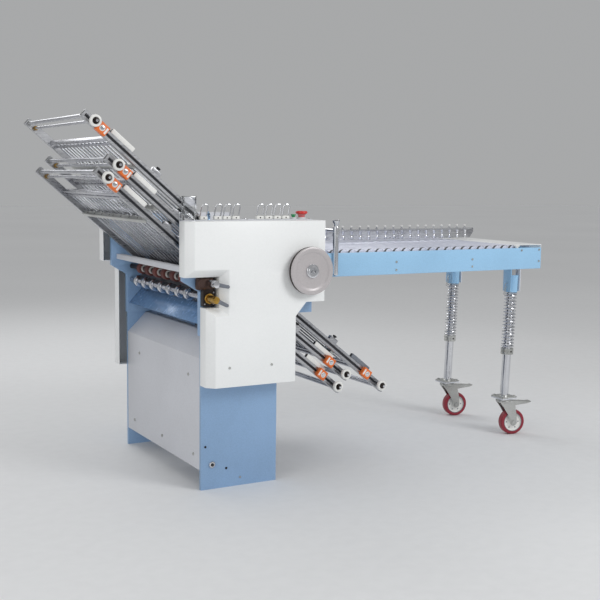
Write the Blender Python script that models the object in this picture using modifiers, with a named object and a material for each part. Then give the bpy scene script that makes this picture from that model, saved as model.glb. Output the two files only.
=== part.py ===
"""Paper folding machine: a floor-standing buckle folder with a roller infeed table.

Metres, +Z up. While it is being built, X runs along the infeed table away from the
fold rollers, Y runs across the machine from the operator's side to the far side, and
the outer bottom corner of the near side plate is at zero. At the end everything is
moved so that the origin lies on the floor under the middle of the machine.
"""
import math

import bmesh
import bpy
from mathutils import Matrix, Vector

OBJECT_NAME = "paper_folding_machine"

# Overall frame
MACHINE_WIDTH = 0.675
TABLE_HEIGHT = 0.760
SEAT_GAP = 0.0003
RUNNING_GAP = 0.0006
ROUND_SIDES = 14
SMALL_SIDES = 12
FINE_SIDES = 10
FEW_SIDES = 8

# Side plates: a thick upper plate on a thinner stand
UPPER_THICK = 0.020
STAND_THICK = 0.012
STAND_LENGTH = 0.271
STAND_HEIGHT_DROP = 0.26
STAND_HEIGHT = TABLE_HEIGHT - STAND_HEIGHT_DROP
STAND_LAP = 0.020
UPPER_LEFT = -0.062
UPPER_FRONT = -0.004
UPPER_TOP_RISE = 0.102
UPPER_TOP = TABLE_HEIGHT + UPPER_TOP_RISE
UPPER_RIGHT = 0.400
SHOULDER_HIGH_DROP = 0.085
SHOULDER_HIGH = TABLE_HEIGHT - SHOULDER_HIGH_DROP
SHOULDER_LOW_DROP = 0.12
SHOULDER_LOW = TABLE_HEIGHT - SHOULDER_LOW_DROP
TAIL_BOTTOM_DROP = 0.203
TAIL_BOTTOM = TABLE_HEIGHT - TAIL_BOTTOM_DROP
TAIL_START = 0.290

# Fold rollers: a straight stack of eight, from the infeed down to the exit
ROLLER_COUNT = 8
ROLLER_RADIUS = 0.01285
ROLLER_STEP = 0.026
FIRST_NIP_X = 0.126
STACK_SLOPE = math.radians(63.3)
JOURNAL_RADIUS = 0.006
BORE_CLEARANCE = 0.0005
ROLLER_END_GAP = 0.0015

# Slitter shafts in front of the last nip
SLITTER_X = 0.016
SLITTER_UPPER_Z_DROP = 0.09
SLITTER_UPPER_Z = TABLE_HEIGHT - SLITTER_UPPER_Z_DROP
SLITTER_LOWER_Z_DROP = 0.139
SLITTER_LOWER_Z = TABLE_HEIGHT - SLITTER_LOWER_Z_DROP
SLITTER_CORE = 0.009
SLITTER_OVERHANG = 0.030
RING_COUNT = 6
RING_RADIUS = 0.020
RING_WIDTH = 0.026
DISC_COUNT = 7
DISC_RADIUS = 0.021
DISC_WIDTH = 0.016
FIRST_DISC_Y = 0.130
LAST_DISC_INSET = 0.089
LAST_DISC_Y = MACHINE_WIDTH - LAST_DISC_INSET

# Clamp levers on the near ends of the slitter shafts
CLAMP_HUB_RADIUS = 0.012
CLAMP_HUB_END = 0.082
CLAMP_ARM_THICK = 0.010
CLAMP_ARM_LENGTH = 0.052
CLAMP_ARM_ROOT = 0.016
CLAMP_ARM_TIP = 0.009
UPPER_CLAMP_TILT = math.radians(12)
LOWER_CLAMP_TILT = math.radians(26)

# Handwheel on the table drive shaft
WHEEL_X = 0.347
WHEEL_Z_DROP = 0.0575
WHEEL_Z = TABLE_HEIGHT - WHEEL_Z_DROP
WHEEL_RADIUS = 0.0775
WHEEL_RIM = 0.022
WHEEL_EDGE = 0.004
WHEEL_STANDOFF = 0.009
WHEEL_HUB_RADIUS = 0.022
WHEEL_HUB_PROUD = 0.006
WHEEL_DISH = 0.003
WHEEL_SHAFT = 0.010
WHEEL_SIDES = 24
BOLT_RADIUS = 0.009
BOLT_PROUD = 0.007

# Covers: folded pans on both side plates
COVER_DEPTH = 0.066
COVER_CHAMFER = 0.024
COVER_SHEET = 0.002
COVER_LEFT = -0.075
FAR_COVER_LEFT = -0.088
FAR_COVER_LEG_LEFT = -0.030
COVER_RIGHT = 0.410
COVER_TOP_PROUD = 0.001
COVER_TOP = UPPER_TOP + COVER_TOP_PROUD
COVER_WAIST = 0.304
COVER_LOBE_BOTTOM_DROP = 0.16
COVER_LOBE_BOTTOM = TABLE_HEIGHT - COVER_LOBE_BOTTOM_DROP
COVER_DIAGONAL_TOP = 0.342
COVER_DIAGONAL_BOTTOM_DROP = 0.204
COVER_DIAGONAL_BOTTOM = TABLE_HEIGHT - COVER_DIAGONAL_BOTTOM_DROP
COVER_BOTTOM_DROP = 0.418
COVER_BOTTOM = TABLE_HEIGHT - COVER_BOTTOM_DROP
FAR_COVER_BOTTOM_DROP = 0.458
COVER_LEG_LEFT = -0.004
COVER_SHOULDER_DROP = 0.07
COVER_SHOULDER = TABLE_HEIGHT - COVER_SHOULDER_DROP
NOTCH_RIGHT = 0.042
NOTCH_BOTTOM_DROP = 0.168
NOTCH_BOTTOM = TABLE_HEIGHT - NOTCH_BOTTOM_DROP
COVER_SHAFT_HOLE = 0.015

# Deck with the roller lift loops and the two buttons
DECK_THICK = 0.003
DECK_WIDTH = 0.057
DECK_DROP = 0.027
DECK_START = 0.150
DECK_SETBACK = 0.002
LOOP_PLACES = (0.0106, 0.0590, 0.0905, 0.1220, 0.2080, 0.2400, 0.2710, 0.3015)
LOOP_WIRE = 0.0018
LOOP_LEGS = 0.0145
LOOP_HEIGHT = 0.0365
LOOP_LEAN = 0.006
LOOP_BLOCK = (0.019, 0.014, 0.011)
LOOP_ROOT = 0.003
STOP_X = 0.376
START_X = 0.345
BUTTON_Y = 0.0335
STOP_HEAD_RADIUS = 0.0195
STOP_HEAD = 0.011
STOP_NECK_RADIUS = 0.011
START_HEAD_RADIUS = 0.008
START_HEAD = 0.005
START_NECK_RADIUS = 0.006
BUTTON_STEM = 0.014
BUTTON_LIFT = 0.006
BUTTON_COLLAR_WALL = 0.003
BUTTON_COLLAR = 0.004
BUTTON_GUIDE_GAP = 0.0008

# Exit side: tie bar, deflector and front panel
TIE_X = -0.034
TIE_Z_DROP = 0.053
TIE_Z = TABLE_HEIGHT - TIE_Z_DROP
TIE_DEPTH = 0.022
TIE_HEIGHT = 0.018
DEFLECTOR_FRONT = 0.001
DEFLECTOR_BACK = 0.052
DEFLECTOR_LOW_DROP = 0.225
DEFLECTOR_HIGH_DROP = 0.170
DEFLECTOR_LIP = 0.030
SHEET = 0.0025
PANEL_BOTTOM = 0.064
PANEL_CREASE_DROP = 0.333
PANEL_CREASE = TABLE_HEIGHT - PANEL_CREASE_DROP
PANEL_TOP_DROP = 0.263
PANEL_TOP = TABLE_HEIGHT - PANEL_TOP_DROP
PANEL_BACK = 0.070
PANEL_FLANGE = 0.025

# Drive motor on the far stand plate
MOTOR_X = 0.135
MOTOR_Z = 0.210
MOTOR_RADIUS = 0.062
MOTOR_LENGTH = 0.190
MOTOR_FLANGE_RADIUS = 0.078
MOTOR_FLANGE = 0.012
MOTOR_BELL_RADIUS = 0.055
MOTOR_BELL = 0.030
MOTOR_STUB_RADIUS = 0.009
MOTOR_STUB = 0.030
MOTOR_BOX = (0.070, 0.080, 0.030)

# Buckle plates, in their own frame: s outwards from the nip, y across, n normal
UPPER_TILT = math.radians(40.5)
LOWER_TILT = math.radians(38.5)
UPPER_KNOB_REACH = (0.612, 0.489, 0.502)
LOWER_KNOB_REACH = (0.569, 0.559, 0.727)
UPPER_ROD_REACH = 0.025
LOWER_ROD_REACH = 0.020
UPPER_GRID_SETBACK = 0.075
LOWER_GRID_SETBACK = 0.105
UPPER_COUNTER_SETBACK = 0.034
LOWER_COUNTER_SETBACK = 0.072
RAIL_START = 0.035
RAIL_WIDTH = 0.018
RAIL_HEIGHT = 0.025
RAIL_TAIL = 0.012
GRID_START = 0.022
GRID_THICK = 0.006
GRID_MOUTH = 0.024
GRID_END_BAR = 0.020
GRID_SLOTS = 11
GRID_ROD = 0.010
TIE_ROD_RADIUS = 0.006
COUNTER_LENGTH = 0.036
COUNTER_HEIGHT = 0.032
COUNTER_DEPTH = 0.018
HOUSING_LENGTH = 0.090
HOUSING_SETBACK = 0.062
HOUSING_RISE = 0.016
GUIDE_BLOCK_LENGTH = 0.034
GUIDE_BLOCK_SETBACK = 0.230
GUIDE_BLOCK_RISE = 0.022
KNOB_RADIUS = 0.018
KNOB_WIDTH = 0.012
KNOB_OUTSET = 0.020
KNOB_HUB_RADIUS = 0.008
KNOB_HUB = 0.012
KNOB_SHAFT = 0.0045
PINION_RADIUS = 0.008
PINION_WIDTH = 0.010
PINION_GAP = 0.0008
STOP_SETBACK = 0.110
STOP_LENGTH = 0.014
STOP_DEPTH = 0.015
STOP_END_GAP = 0.0005
STOP_FINGERS = 4
FINGER_WIDTH = 0.008
FINGER_RISE = 0.010
FINGER_LENGTH = 0.008

# Infeed table
TABLE_END = 1.398
RAIL_BOTTOM_DROP = 0.089
RAIL_BOTTOM = TABLE_HEIGHT - RAIL_BOTTOM_DROP
RAIL_TOP_DROP = 0.01
RAIL_TOP = TABLE_HEIGHT - RAIL_TOP_DROP
TABLE_RAIL = 0.012
TABLE_ROLLERS = 24
TABLE_ROLLER_RADIUS = 0.0155
TABLE_ROLLER_PITCH = 0.037
LAST_ROLLER_X = 1.273
BITE = 0.001
INFEED_START = 0.165
INFEED_SIDE = 0.047
INFEED_DROP = 0.003
CROSS_THICK = 0.006
END_PLATE_START = 1.293
END_PLATE_REACH = 0.027
END_PLATE_SIDE = 0.030
END_LIP = 0.016
SPLICE_START = 0.366
SPLICE_END = 0.470
SPLICE_THICK = 0.012
SPLICE_MARGIN = 0.023

# Guide bridge and side guide
BRIDGE_X = 0.487
BRIDGE_Z_RISE = 0.066
BRIDGE_Z = TABLE_HEIGHT + BRIDGE_Z_RISE
BRIDGE_RADIUS = 0.006
ARM_WIDTH = 0.018
ARM_DEPTH = 0.013
ARM_BOTTOM_DROP = 0.084
ARM_BOTTOM = TABLE_HEIGHT - ARM_BOTTOM_DROP
ARM_TOP_RISE = 0.08
ARM_TOP = TABLE_HEIGHT + ARM_TOP_RISE
BRIDGE_KNOB_RADIUS = 0.012
BRIDGE_KNOB = 0.016
BRIDGE_KNOB_NECK = 0.006
GUIDE_INSET = 0.265
GUIDE_Y = MACHINE_WIDTH - GUIDE_INSET
GUIDE_START = 0.440
GUIDE_END = 1.395
GUIDE_LOW_RISE = 0.006
GUIDE_LOW = TABLE_HEIGHT + GUIDE_LOW_RISE
GUIDE_HIGH_RISE = 0.046
GUIDE_HIGH = TABLE_HEIGHT + GUIDE_HIGH_RISE
GUIDE_THICK = 0.012
GUIDE_TOP_WIDTH = 0.026
GUIDE_TOP_THICK = 0.006
GUIDE_SLIDER = 0.032
GUIDE_SLIDER_TOP_RISE = 0.08
GUIDE_SLIDER_TOP = TABLE_HEIGHT + GUIDE_SLIDER_TOP_RISE
GUIDE_POSTS = 17
GUIDE_POST_PITCH = 0.056
GUIDE_POST_RADIUS = 0.004
GUIDE_POST_RISE = 0.008
GUIDE_POST_END = 0.018

# Spring legs and casters
LEG_X = 1.394
LEG_INSETS = 0.309
LEG_SPREAD = MACHINE_WIDTH - LEG_INSETS
LEG_LEAN = math.radians(2.2)
LEG_PIVOT_Z_DROP = 0.11
LEG_PIVOT_Z = TABLE_HEIGHT - LEG_PIVOT_Z_DROP
LEG_TUBE_RADIUS = 0.0165
LEG_TUBE_TOP_DROP = 0.07
LEG_TUBE_TOP = TABLE_HEIGHT - LEG_TUBE_TOP_DROP
LEG_FOOT_Z = 0.150
SOCKET_WALL = 0.0079
SOCKET_LOW_DROP = 0.194
SOCKET_LOW = TABLE_HEIGHT - SOCKET_LOW_DROP
SOCKET_HIGH_DROP = 0.127
SOCKET_HIGH = TABLE_HEIGHT - SOCKET_HIGH_DROP
BRACKET_REACH = 0.023
BRACKET_THICK = 0.005
BRACKET_WIDTH = 0.044
BRACKET_LOW_DROP = 0.19
BRACKET_LOW = TABLE_HEIGHT - BRACKET_LOW_DROP
COLLAR_RADIUS = 0.0245
COLLAR_LOW_DROP = 0.439
COLLAR_LOW = TABLE_HEIGHT - COLLAR_LOW_DROP
COLLAR_HIGH_DROP = 0.415
COLLAR_HIGH = TABLE_HEIGHT - COLLAR_HIGH_DROP
SPRING_WIRE = 0.002
SPRING_RADIUS = 0.0225
SPRING_TURNS = 15
SPRING_POINTS = 8
FOOT_PLATE = 0.090
FOOT_PLATE_THICK = 0.010
KING_RADIUS = 0.016
CROWN_RADIUS = 0.030
CROWN_THICK = 0.013
CASTER_RADIUS = 0.050
CASTER_TREAD = 0.030
CASTER_SHOULDER = 0.004
CASTER_HUB_RADIUS = 0.015
CASTER_WEB = 0.012
CASTER_RIM_INSET = 0.012
CASTER_TRAIL = 0.035
CASTER_YAW = math.radians(14)
CASTER_SIDES = 20
FORK_THICK = 0.003
FORK_INNER = 0.019
FORK_FOOT_RADIUS = 0.014
FORK_TOP_LEFT = -0.024
FORK_TOP_RIGHT = 0.032
AXLE_RADIUS = 0.005
PEDAL_REACH = 0.112
PEDAL_WIDTH = 0.030
PEDAL_THICK = 0.004
PEDAL_DROP = 0.010

# Finishes: colour, roughness, metallic
BLUE_PAINT = ((0.290, 0.452, 0.686), 0.42, 0.0)
RAIL_PAINT = ((0.347, 0.610, 0.871), 0.40, 0.0)
WHITE_PAINT = ((0.905, 0.915, 0.915), 0.38, 0.0)
PANEL_PAINT = ((0.700, 0.715, 0.765), 0.45, 0.0)
GREY_PAINT = ((0.545, 0.505, 0.510), 0.40, 0.2)
STEEL = ((0.620, 0.620, 0.620), 0.28, 1.0)
ZINC = ((0.700, 0.700, 0.690), 0.34, 1.0)
DARK_STEEL = ((0.090, 0.060, 0.060), 0.40, 0.6)
ROLLER_GREY = ((0.180, 0.180, 0.190), 0.55, 0.3)
WHITE_PLASTIC = ((0.850, 0.850, 0.840), 0.35, 0.0)
RED_PLASTIC = ((0.780, 0.060, 0.050), 0.35, 0.0)
GREEN_PLASTIC = ((0.080, 0.420, 0.240), 0.35, 0.0)
RED_TYRE = ((0.430, 0.040, 0.060), 0.45, 0.0)
LEVER_GREY = ((0.150, 0.160, 0.170), 0.50, 0.1)
MOTOR_GREY = ((0.200, 0.220, 0.250), 0.50, 0.2)

EMPTY_SIZE = 0.05
SHARP_ANGLE = math.radians(35)
MERGE = 0.00001
QUARTER = math.radians(90)


def clear_scene():
    """Remove every object that the file opened with."""
    for old in list(bpy.data.objects):
        bpy.data.objects.remove(old)


def new_collection(name):
    """A collection linked to the scene."""
    made = bpy.data.collections.new(name)
    bpy.context.scene.collection.children.link(made)
    return made


def add(name, data, parent=None, location=(0, 0, 0), rotation=(0, 0, 0), group=None):
    """An object with a place of its own, linked to the parts or to another group."""
    made = bpy.data.objects.new(name, data)
    (group or PARTS).objects.link(made)
    made.parent = parent
    made.location = location
    made.rotation_euler = rotation
    return made


def frame_empty(name, parent, location, rotation=(0, 0, 0)):
    """An empty that carries the pieces of one assembly."""
    made = add(name, None, parent, location, rotation)
    made.empty_display_size = EMPTY_SIZE
    return made


def mesh_from(name, bm):
    """A mesh with its doubles merged and its faces pointing out."""
    bmesh.ops.recalc_face_normals(bm, faces=bm.faces)
    mesh = bpy.data.meshes.new(name)
    bm.to_mesh(mesh)
    bm.free()
    return mesh


def block(name, low, high, parent=None, group=None):
    """A box between two corners, with its origin at its centre."""
    low, high = Vector(low), Vector(high)
    bm = bmesh.new()
    bmesh.ops.create_cube(bm, size=1, matrix=Matrix.Diagonal((*(high - low), 1)))
    return add(name, mesh_from(name, bm), parent, (low + high) / 2, group=group)


def rod(name, radius, start, end, parent=None, sides=SMALL_SIDES, group=None):
    """A round bar between two points, with its origin at its middle."""
    start, end = Vector(start), Vector(end)
    bm = bmesh.new()
    bmesh.ops.create_cone(bm, cap_ends=True, segments=sides, radius1=radius,
                          radius2=radius, depth=(end - start).length)
    turn = (end - start).to_track_quat("Z", "Y").to_euler()
    return add(name, mesh_from(name, bm), parent, (start + end) / 2, turn, group)


def drill(name, radius, start, end, parent=None, sides=SMALL_SIDES):
    """A round cutter whose flats clear the given radius."""
    return rod(name, radius / math.cos(math.pi / sides), start, end, parent, sides)


def turned(name, profile, parent, location, rotation=(0, 0, 0), sides=ROUND_SIDES,
           closed=False, group=None):
    """A profile of (radius, height), top to bottom, turned about its own Z axis."""
    mesh = bpy.data.meshes.new(name)
    count = len(profile)
    edges = [(i, (i + 1) % count) for i in range(count if closed else count - 1)]
    mesh.from_pydata([(radius, 0, height) for radius, height in profile], edges, [])
    made = add(name, mesh, parent, location, rotation, group)
    screw = made.modifiers.new("turn", "SCREW")
    screw.steps = screw.render_steps = sides
    screw.use_merge_vertices = True
    screw.merge_threshold = MERGE
    return made


def circle(centre, radius, sides=SMALL_SIDES):
    """A hole in an outline, whose flats clear the given radius."""
    steps = [math.tau * i / sides for i in range(sides)]
    corner = radius / math.cos(math.pi / sides)
    return [(centre[0] + corner * math.cos(a), centre[1] + corner * math.sin(a))
            for a in steps]


def as_mesh(made):
    """Turn a curve or a modified object into a plain mesh object of the same name."""
    bpy.context.view_layer.update()
    graph = bpy.context.evaluated_depsgraph_get()
    mesh = bpy.data.meshes.new_from_object(made.evaluated_get(graph))
    bm = bmesh.new()
    bm.from_mesh(mesh)
    bmesh.ops.remove_doubles(bm, verts=bm.verts, dist=MERGE)
    bm.to_mesh(mesh)
    bm.free()
    name, parent, group = made.name, made.parent, made.users_collection[0]
    place, turn = made.location.copy(), made.rotation_euler.copy()
    bpy.data.objects.remove(made)
    mesh.name = name
    return add(name, mesh, parent, place, turn, group)


def slab(name, outline, thickness, parent=None, location=(0, 0, 0),
         rotation=(0, 0, 0), holes=(), group=None):
    """A flat outline with holes, extruded half its thickness to each side."""
    curve = bpy.data.curves.new(name, "CURVE")
    curve.dimensions = "2D"
    curve.fill_mode = "BOTH"
    curve.extrude = thickness / 2
    for loop in (outline, *holes):
        spline = curve.splines.new("POLY")
        spline.points.add(len(loop) - 1)
        for point, (x, y) in zip(spline.points, loop):
            point.co = (x, y, 0, 1)
        spline.use_cyclic_u = True
    return as_mesh(add(name, curve, parent, location, rotation, group))


def upright(name, outline, y_low, y_high, parent=None, holes=(), group=None):
    """A slab whose outline is drawn in X and Z, between two places across."""
    centre = (0, (y_low + y_high) / 2, 0)
    return slab(name, outline, y_high - y_low, parent, centre, (QUARTER, 0, 0),
                holes, group)


def wire(name, points, radius, parent=None, location=(0, 0, 0), rotation=(0, 0, 0),
         group=None):
    """A round wire through points, with closed ends, as a mesh."""
    curve = bpy.data.curves.new(name, "CURVE")
    curve.dimensions = "3D"
    curve.bevel_depth = radius
    curve.bevel_resolution = 1
    curve.use_fill_caps = True
    spline = curve.splines.new("POLY")
    spline.points.add(len(points) - 1)
    for point, place in zip(spline.points, points):
        point.co = (*place, 1)
    return as_mesh(add(name, curve, parent, location, rotation, group))


def gather(name, solids, group=None):
    """Several solids that don't meet, as the meshes of one object in world places."""
    bm = bmesh.new()
    bpy.context.view_layer.update()
    graph = bpy.context.evaluated_depsgraph_get()
    for solid in solids:
        mesh = bpy.data.meshes.new_from_object(solid.evaluated_get(graph))
        mesh.transform(solid.matrix_world)
        bm.from_mesh(mesh)
    for solid in solids:
        bpy.data.objects.remove(solid)
    return add(name, mesh_from(name, bm), group=group or CUTTERS)


def fuse(made, *others):
    """Weld other solids to one, which keeps its name and its place."""
    combine(made, "UNION", others)
    return made


def cut(made, *others):
    """Cut other solids out of one."""
    combine(made, "DIFFERENCE", others)
    return made


def combine(made, operation, others):
    """Add one exact Boolean for each of the other solids, and keep them as guides."""
    root = made
    while root.parent:
        root = root.parent
    for other in others:
        if not other.parent and root is not made:
            other.parent = root
        for group in list(other.users_collection):
            group.objects.unlink(other)
        CUTTERS.objects.link(other)
        other.hide_render = True
        other.display_type = "WIRE"
        step = made.modifiers.new(other.name, "BOOLEAN")
        step.operation = operation
        step.object = other


def dress(made, finish):
    """Give a piece its own material and shade its round faces smooth."""
    colour, roughness, metallic = finish
    paint = bpy.data.materials.new(made.name + "_finish")
    paint.use_nodes = True
    shader = paint.node_tree.nodes["Principled BSDF"]
    shader.inputs["Base Color"].default_value = (*colour, 1)
    shader.inputs["Roughness"].default_value = roughness
    shader.inputs["Metallic"].default_value = metallic
    made.data.materials.clear()
    made.data.materials.append(paint)
    made.data.shade_smooth()
    if made.data.edges and made.data.polygons:
        made.data.set_sharp_from_angle(angle=SHARP_ANGLE)
    return made


def stack_direction():
    """Unit vector down the stack of fold rollers."""
    return Vector((-math.cos(STACK_SLOPE), 0, -math.sin(STACK_SLOPE)))


def nip(number):
    """Middle of the nip between fold rollers number and number + 1."""
    first = Vector((FIRST_NIP_X, 0, TABLE_HEIGHT))
    return first + stack_direction() * ROLLER_STEP * (number - 1)


def roller_centre(number):
    """Centre of a fold roller, counted from the infeed."""
    return nip(number) - stack_direction() * ROLLER_STEP / 2


def bearing_places():
    """Centre and journal radius of every shaft that runs in the side plates."""
    rollers = [(roller_centre(i + 1), JOURNAL_RADIUS) for i in range(ROLLER_COUNT)]
    slitters = [(Vector((SLITTER_X, 0, z)), SLITTER_CORE)
                for z in (SLITTER_UPPER_Z, SLITTER_LOWER_Z)]
    return rollers + slitters + [(Vector((WHEEL_X, 0, WHEEL_Z)), WHEEL_SHAFT)]


def side_plate(name, machine, far):
    """One side plate: the thick upper plate with its bearing holes on its stand."""
    outline = [(UPPER_LEFT, UPPER_TOP), (UPPER_LEFT, SHOULDER_HIGH),
               (UPPER_FRONT, SHOULDER_LOW), (UPPER_FRONT, STAND_HEIGHT),
               (STAND_LENGTH, STAND_HEIGHT), (TAIL_START, TAIL_BOTTOM),
               (UPPER_RIGHT, TAIL_BOTTOM), (UPPER_RIGHT, UPPER_TOP)]
    holes = [circle((place.x, place.z), radius + BORE_CLEARANCE, FINE_SIDES)
             for place, radius in bearing_places()]
    stand = [(0, 0), (STAND_LENGTH, 0), (STAND_LENGTH, STAND_HEIGHT + STAND_LAP),
             (0, STAND_HEIGHT + STAND_LAP)]
    if far:
        spans = (MACHINE_WIDTH - UPPER_THICK, MACHINE_WIDTH - STAND_THICK, MACHINE_WIDTH)
        made = upright(name, outline, spans[0], spans[2], machine, holes)
        lower = upright(name + "_stand", stand, spans[1], spans[2])
    else:
        made = upright(name, outline, 0, UPPER_THICK, machine, holes)
        lower = upright(name + "_stand", stand, 0, STAND_THICK)
    return dress(fuse(made, lower), BLUE_PAINT)


def fold_roller(number, machine):
    """A fold roller with a journal at each end, lying along Y."""
    half = MACHINE_WIDTH / 2
    body = half - UPPER_THICK - ROLLER_END_GAP
    tip = half - SEAT_GAP
    profile = [(0, tip), (JOURNAL_RADIUS, tip), (JOURNAL_RADIUS, body),
               (ROLLER_RADIUS, body), (ROLLER_RADIUS, -body),
               (JOURNAL_RADIUS, -body), (JOURNAL_RADIUS, -tip), (0, -tip)]
    place = roller_centre(number) + Vector((0, half, 0))
    made = turned(f"fold_roller_{number}", profile, machine, place, (QUARTER, 0, 0),
                  FINE_SIDES)
    return dress(made, ROLLER_GREY)


def stepped_shaft(name, machine, height, places, ring, finish):
    """A slitter shaft along Y: a core with a ring at each given place.

    Heights run along the turned piece's own axis, which points to the near side."""
    far_end = MACHINE_WIDTH - SEAT_GAP
    profile = [(0, SLITTER_OVERHANG), (SLITTER_CORE, SLITTER_OVERHANG)]
    ring_radius, ring_width = ring
    for place in places:
        near, after = -place + ring_width / 2, -place - ring_width / 2
        profile += [(SLITTER_CORE, near), (ring_radius, near), (ring_radius, after),
                    (SLITTER_CORE, after)]
    profile += [(SLITTER_CORE, -far_end), (0, -far_end)]
    made = turned(name, profile, machine, (SLITTER_X, 0, height), (QUARTER, 0, 0),
                  FINE_SIDES)
    return dress(made, finish)


def slitter_shafts(machine):
    """The ringed upper shaft and the lower shaft with its slitter discs."""
    gap = (LAST_DISC_Y - FIRST_DISC_Y) / (DISC_COUNT - 1)
    discs = [FIRST_DISC_Y + gap * i for i in range(DISC_COUNT)]
    rings = [FIRST_DISC_Y + gap * (i + 1 / 2) for i in range(RING_COUNT)]
    stepped_shaft("upper_slitter_shaft", machine, SLITTER_UPPER_Z, rings,
                  (RING_RADIUS, RING_WIDTH), DARK_STEEL)
    stepped_shaft("lower_slitter_shaft", machine, SLITTER_LOWER_Z, discs,
                  (DISC_RADIUS, DISC_WIDTH), STEEL)


def clamp_lever(name, machine, height, tilt):
    """A tapered lever on a hub, in front of a slitter shaft's near end."""
    start = SLITTER_OVERHANG + RUNNING_GAP
    made = rod(name, CLAMP_HUB_RADIUS, (0, -CLAMP_HUB_END, 0), (0, -start, 0), machine,
               ROUND_SIDES)
    hub_centre = made.location.copy()
    made.location = hub_centre + Vector((SLITTER_X, 0, height))
    arm = [(0, CLAMP_ARM_ROOT / 2), (0, -CLAMP_ARM_ROOT / 2),
           (CLAMP_ARM_LENGTH, -CLAMP_ARM_TIP / 2),
           (CLAMP_ARM_LENGTH + CLAMP_ARM_TIP / 2, 0),
           (CLAMP_ARM_LENGTH, CLAMP_ARM_TIP / 2)]
    centre = (SLITTER_X, -CLAMP_HUB_END + CLAMP_ARM_THICK / 2, height)
    lever = slab(name + "_arm", arm, CLAMP_ARM_THICK, machine, centre,
                 (QUARTER, tilt, 0))
    return dress(fuse(made, lever), LEVER_GREY)


def handwheel(machine):
    """The handwheel, its bolt and the table drive shaft that it is keyed to."""
    near = COVER_DEPTH + WHEEL_STANDOFF
    face = near + WHEEL_RIM
    hub = face + WHEEL_HUB_PROUD
    top = hub + BOLT_PROUD
    end = MACHINE_WIDTH - SEAT_GAP
    profile = [(0, top), (BOLT_RADIUS, top), (BOLT_RADIUS, hub),
               (WHEEL_HUB_RADIUS, hub), (WHEEL_HUB_RADIUS, face - WHEEL_DISH),
               (WHEEL_RADIUS - WHEEL_RIM, face - WHEEL_DISH),
               (WHEEL_RADIUS - WHEEL_EDGE, face), (WHEEL_RADIUS, face - WHEEL_EDGE),
               (WHEEL_RADIUS, near + WHEEL_EDGE), (WHEEL_RADIUS - WHEEL_EDGE, near),
               (WHEEL_SHAFT, near), (WHEEL_SHAFT, -end), (0, -end)]
    made = turned("handwheel", profile, machine, (WHEEL_X, 0, WHEEL_Z),
                  (QUARTER, 0, 0), WHEEL_SIDES)
    return dress(made, GREY_PAINT)


def cover_outline(notched):
    """The rim of a cover in X and Z, and how far each edge is chamfered."""
    if notched:
        points = [(COVER_LEFT, COVER_TOP), (COVER_LEFT, COVER_SHOULDER),
                  (NOTCH_RIGHT, COVER_SHOULDER), (NOTCH_RIGHT, NOTCH_BOTTOM),
                  (COVER_LEG_LEFT, NOTCH_BOTTOM), (COVER_LEG_LEFT, COVER_BOTTOM)]
        bottom = COVER_BOTTOM
    else:
        bottom = TABLE_HEIGHT - FAR_COVER_BOTTOM_DROP
        points = [(FAR_COVER_LEFT, COVER_TOP), (FAR_COVER_LEFT, COVER_SHOULDER),
                  (FAR_COVER_LEG_LEFT, COVER_SHOULDER), (FAR_COVER_LEG_LEFT, bottom)]
    chamfered = len(points) - 1
    points += [(COVER_WAIST, bottom), (COVER_WAIST, COVER_DIAGONAL_BOTTOM),
               (COVER_DIAGONAL_TOP, COVER_LOBE_BOTTOM),
               (COVER_RIGHT, COVER_LOBE_BOTTOM), (COVER_RIGHT, COVER_TOP)]
    insets = [COVER_CHAMFER if index < chamfered else 0 for index in range(len(points))]
    return points, insets


def inset_outline(points, insets):
    """An outline with each edge moved inwards by its own distance."""
    points = [Vector(point) for point in points]
    moved = []
    for index, point in enumerate(points):
        before = (point - points[index - 1]).normalized()
        after = (points[(index + 1) % len(points)] - point).normalized()
        first, second = insets[index - 1], insets[index]
        turn = before.x * after.y - before.y * after.x
        along = (second - first * before.dot(after)) / turn
        moved.append(point + Vector((-before.y, before.x)) * first - before * along)
    return moved


def cover(name, machine, notched, rim_y, outward):
    """A folded pan: rim, wall, chamfers and face, as one open sheet made thick."""
    rim, insets = cover_outline(notched)
    rings = [(rim, rim_y), (rim, rim_y + outward * (COVER_DEPTH - COVER_CHAMFER)),
             (inset_outline(rim, insets), rim_y + outward * COVER_DEPTH)]
    bm = bmesh.new()
    loops = [[bm.verts.new((x, y, z)) for x, z in ring] for ring, y in rings]
    count = len(rim)
    for lower, upper in zip(loops, loops[1:]):
        for index in range(count):
            after = (index + 1) % count
            bm.faces.new((lower[index], lower[after], upper[after], upper[index]))
    bm.faces.new(loops[-1])
    pan = add(name, mesh_from(name, bm), machine)
    skin = pan.modifiers.new("sheet", "SOLIDIFY")
    skin.thickness = COVER_SHEET
    skin.offset = -1
    skin.use_even_offset = True
    if notched:
        hole = drill(name + "_hole", COVER_SHAFT_HOLE,
                     (WHEEL_X, -COVER_DEPTH * 2, WHEEL_Z), (WHEEL_X, 0, WHEEL_Z))
        cut(pan, hole)
    return dress(pan, WHITE_PAINT)


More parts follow.
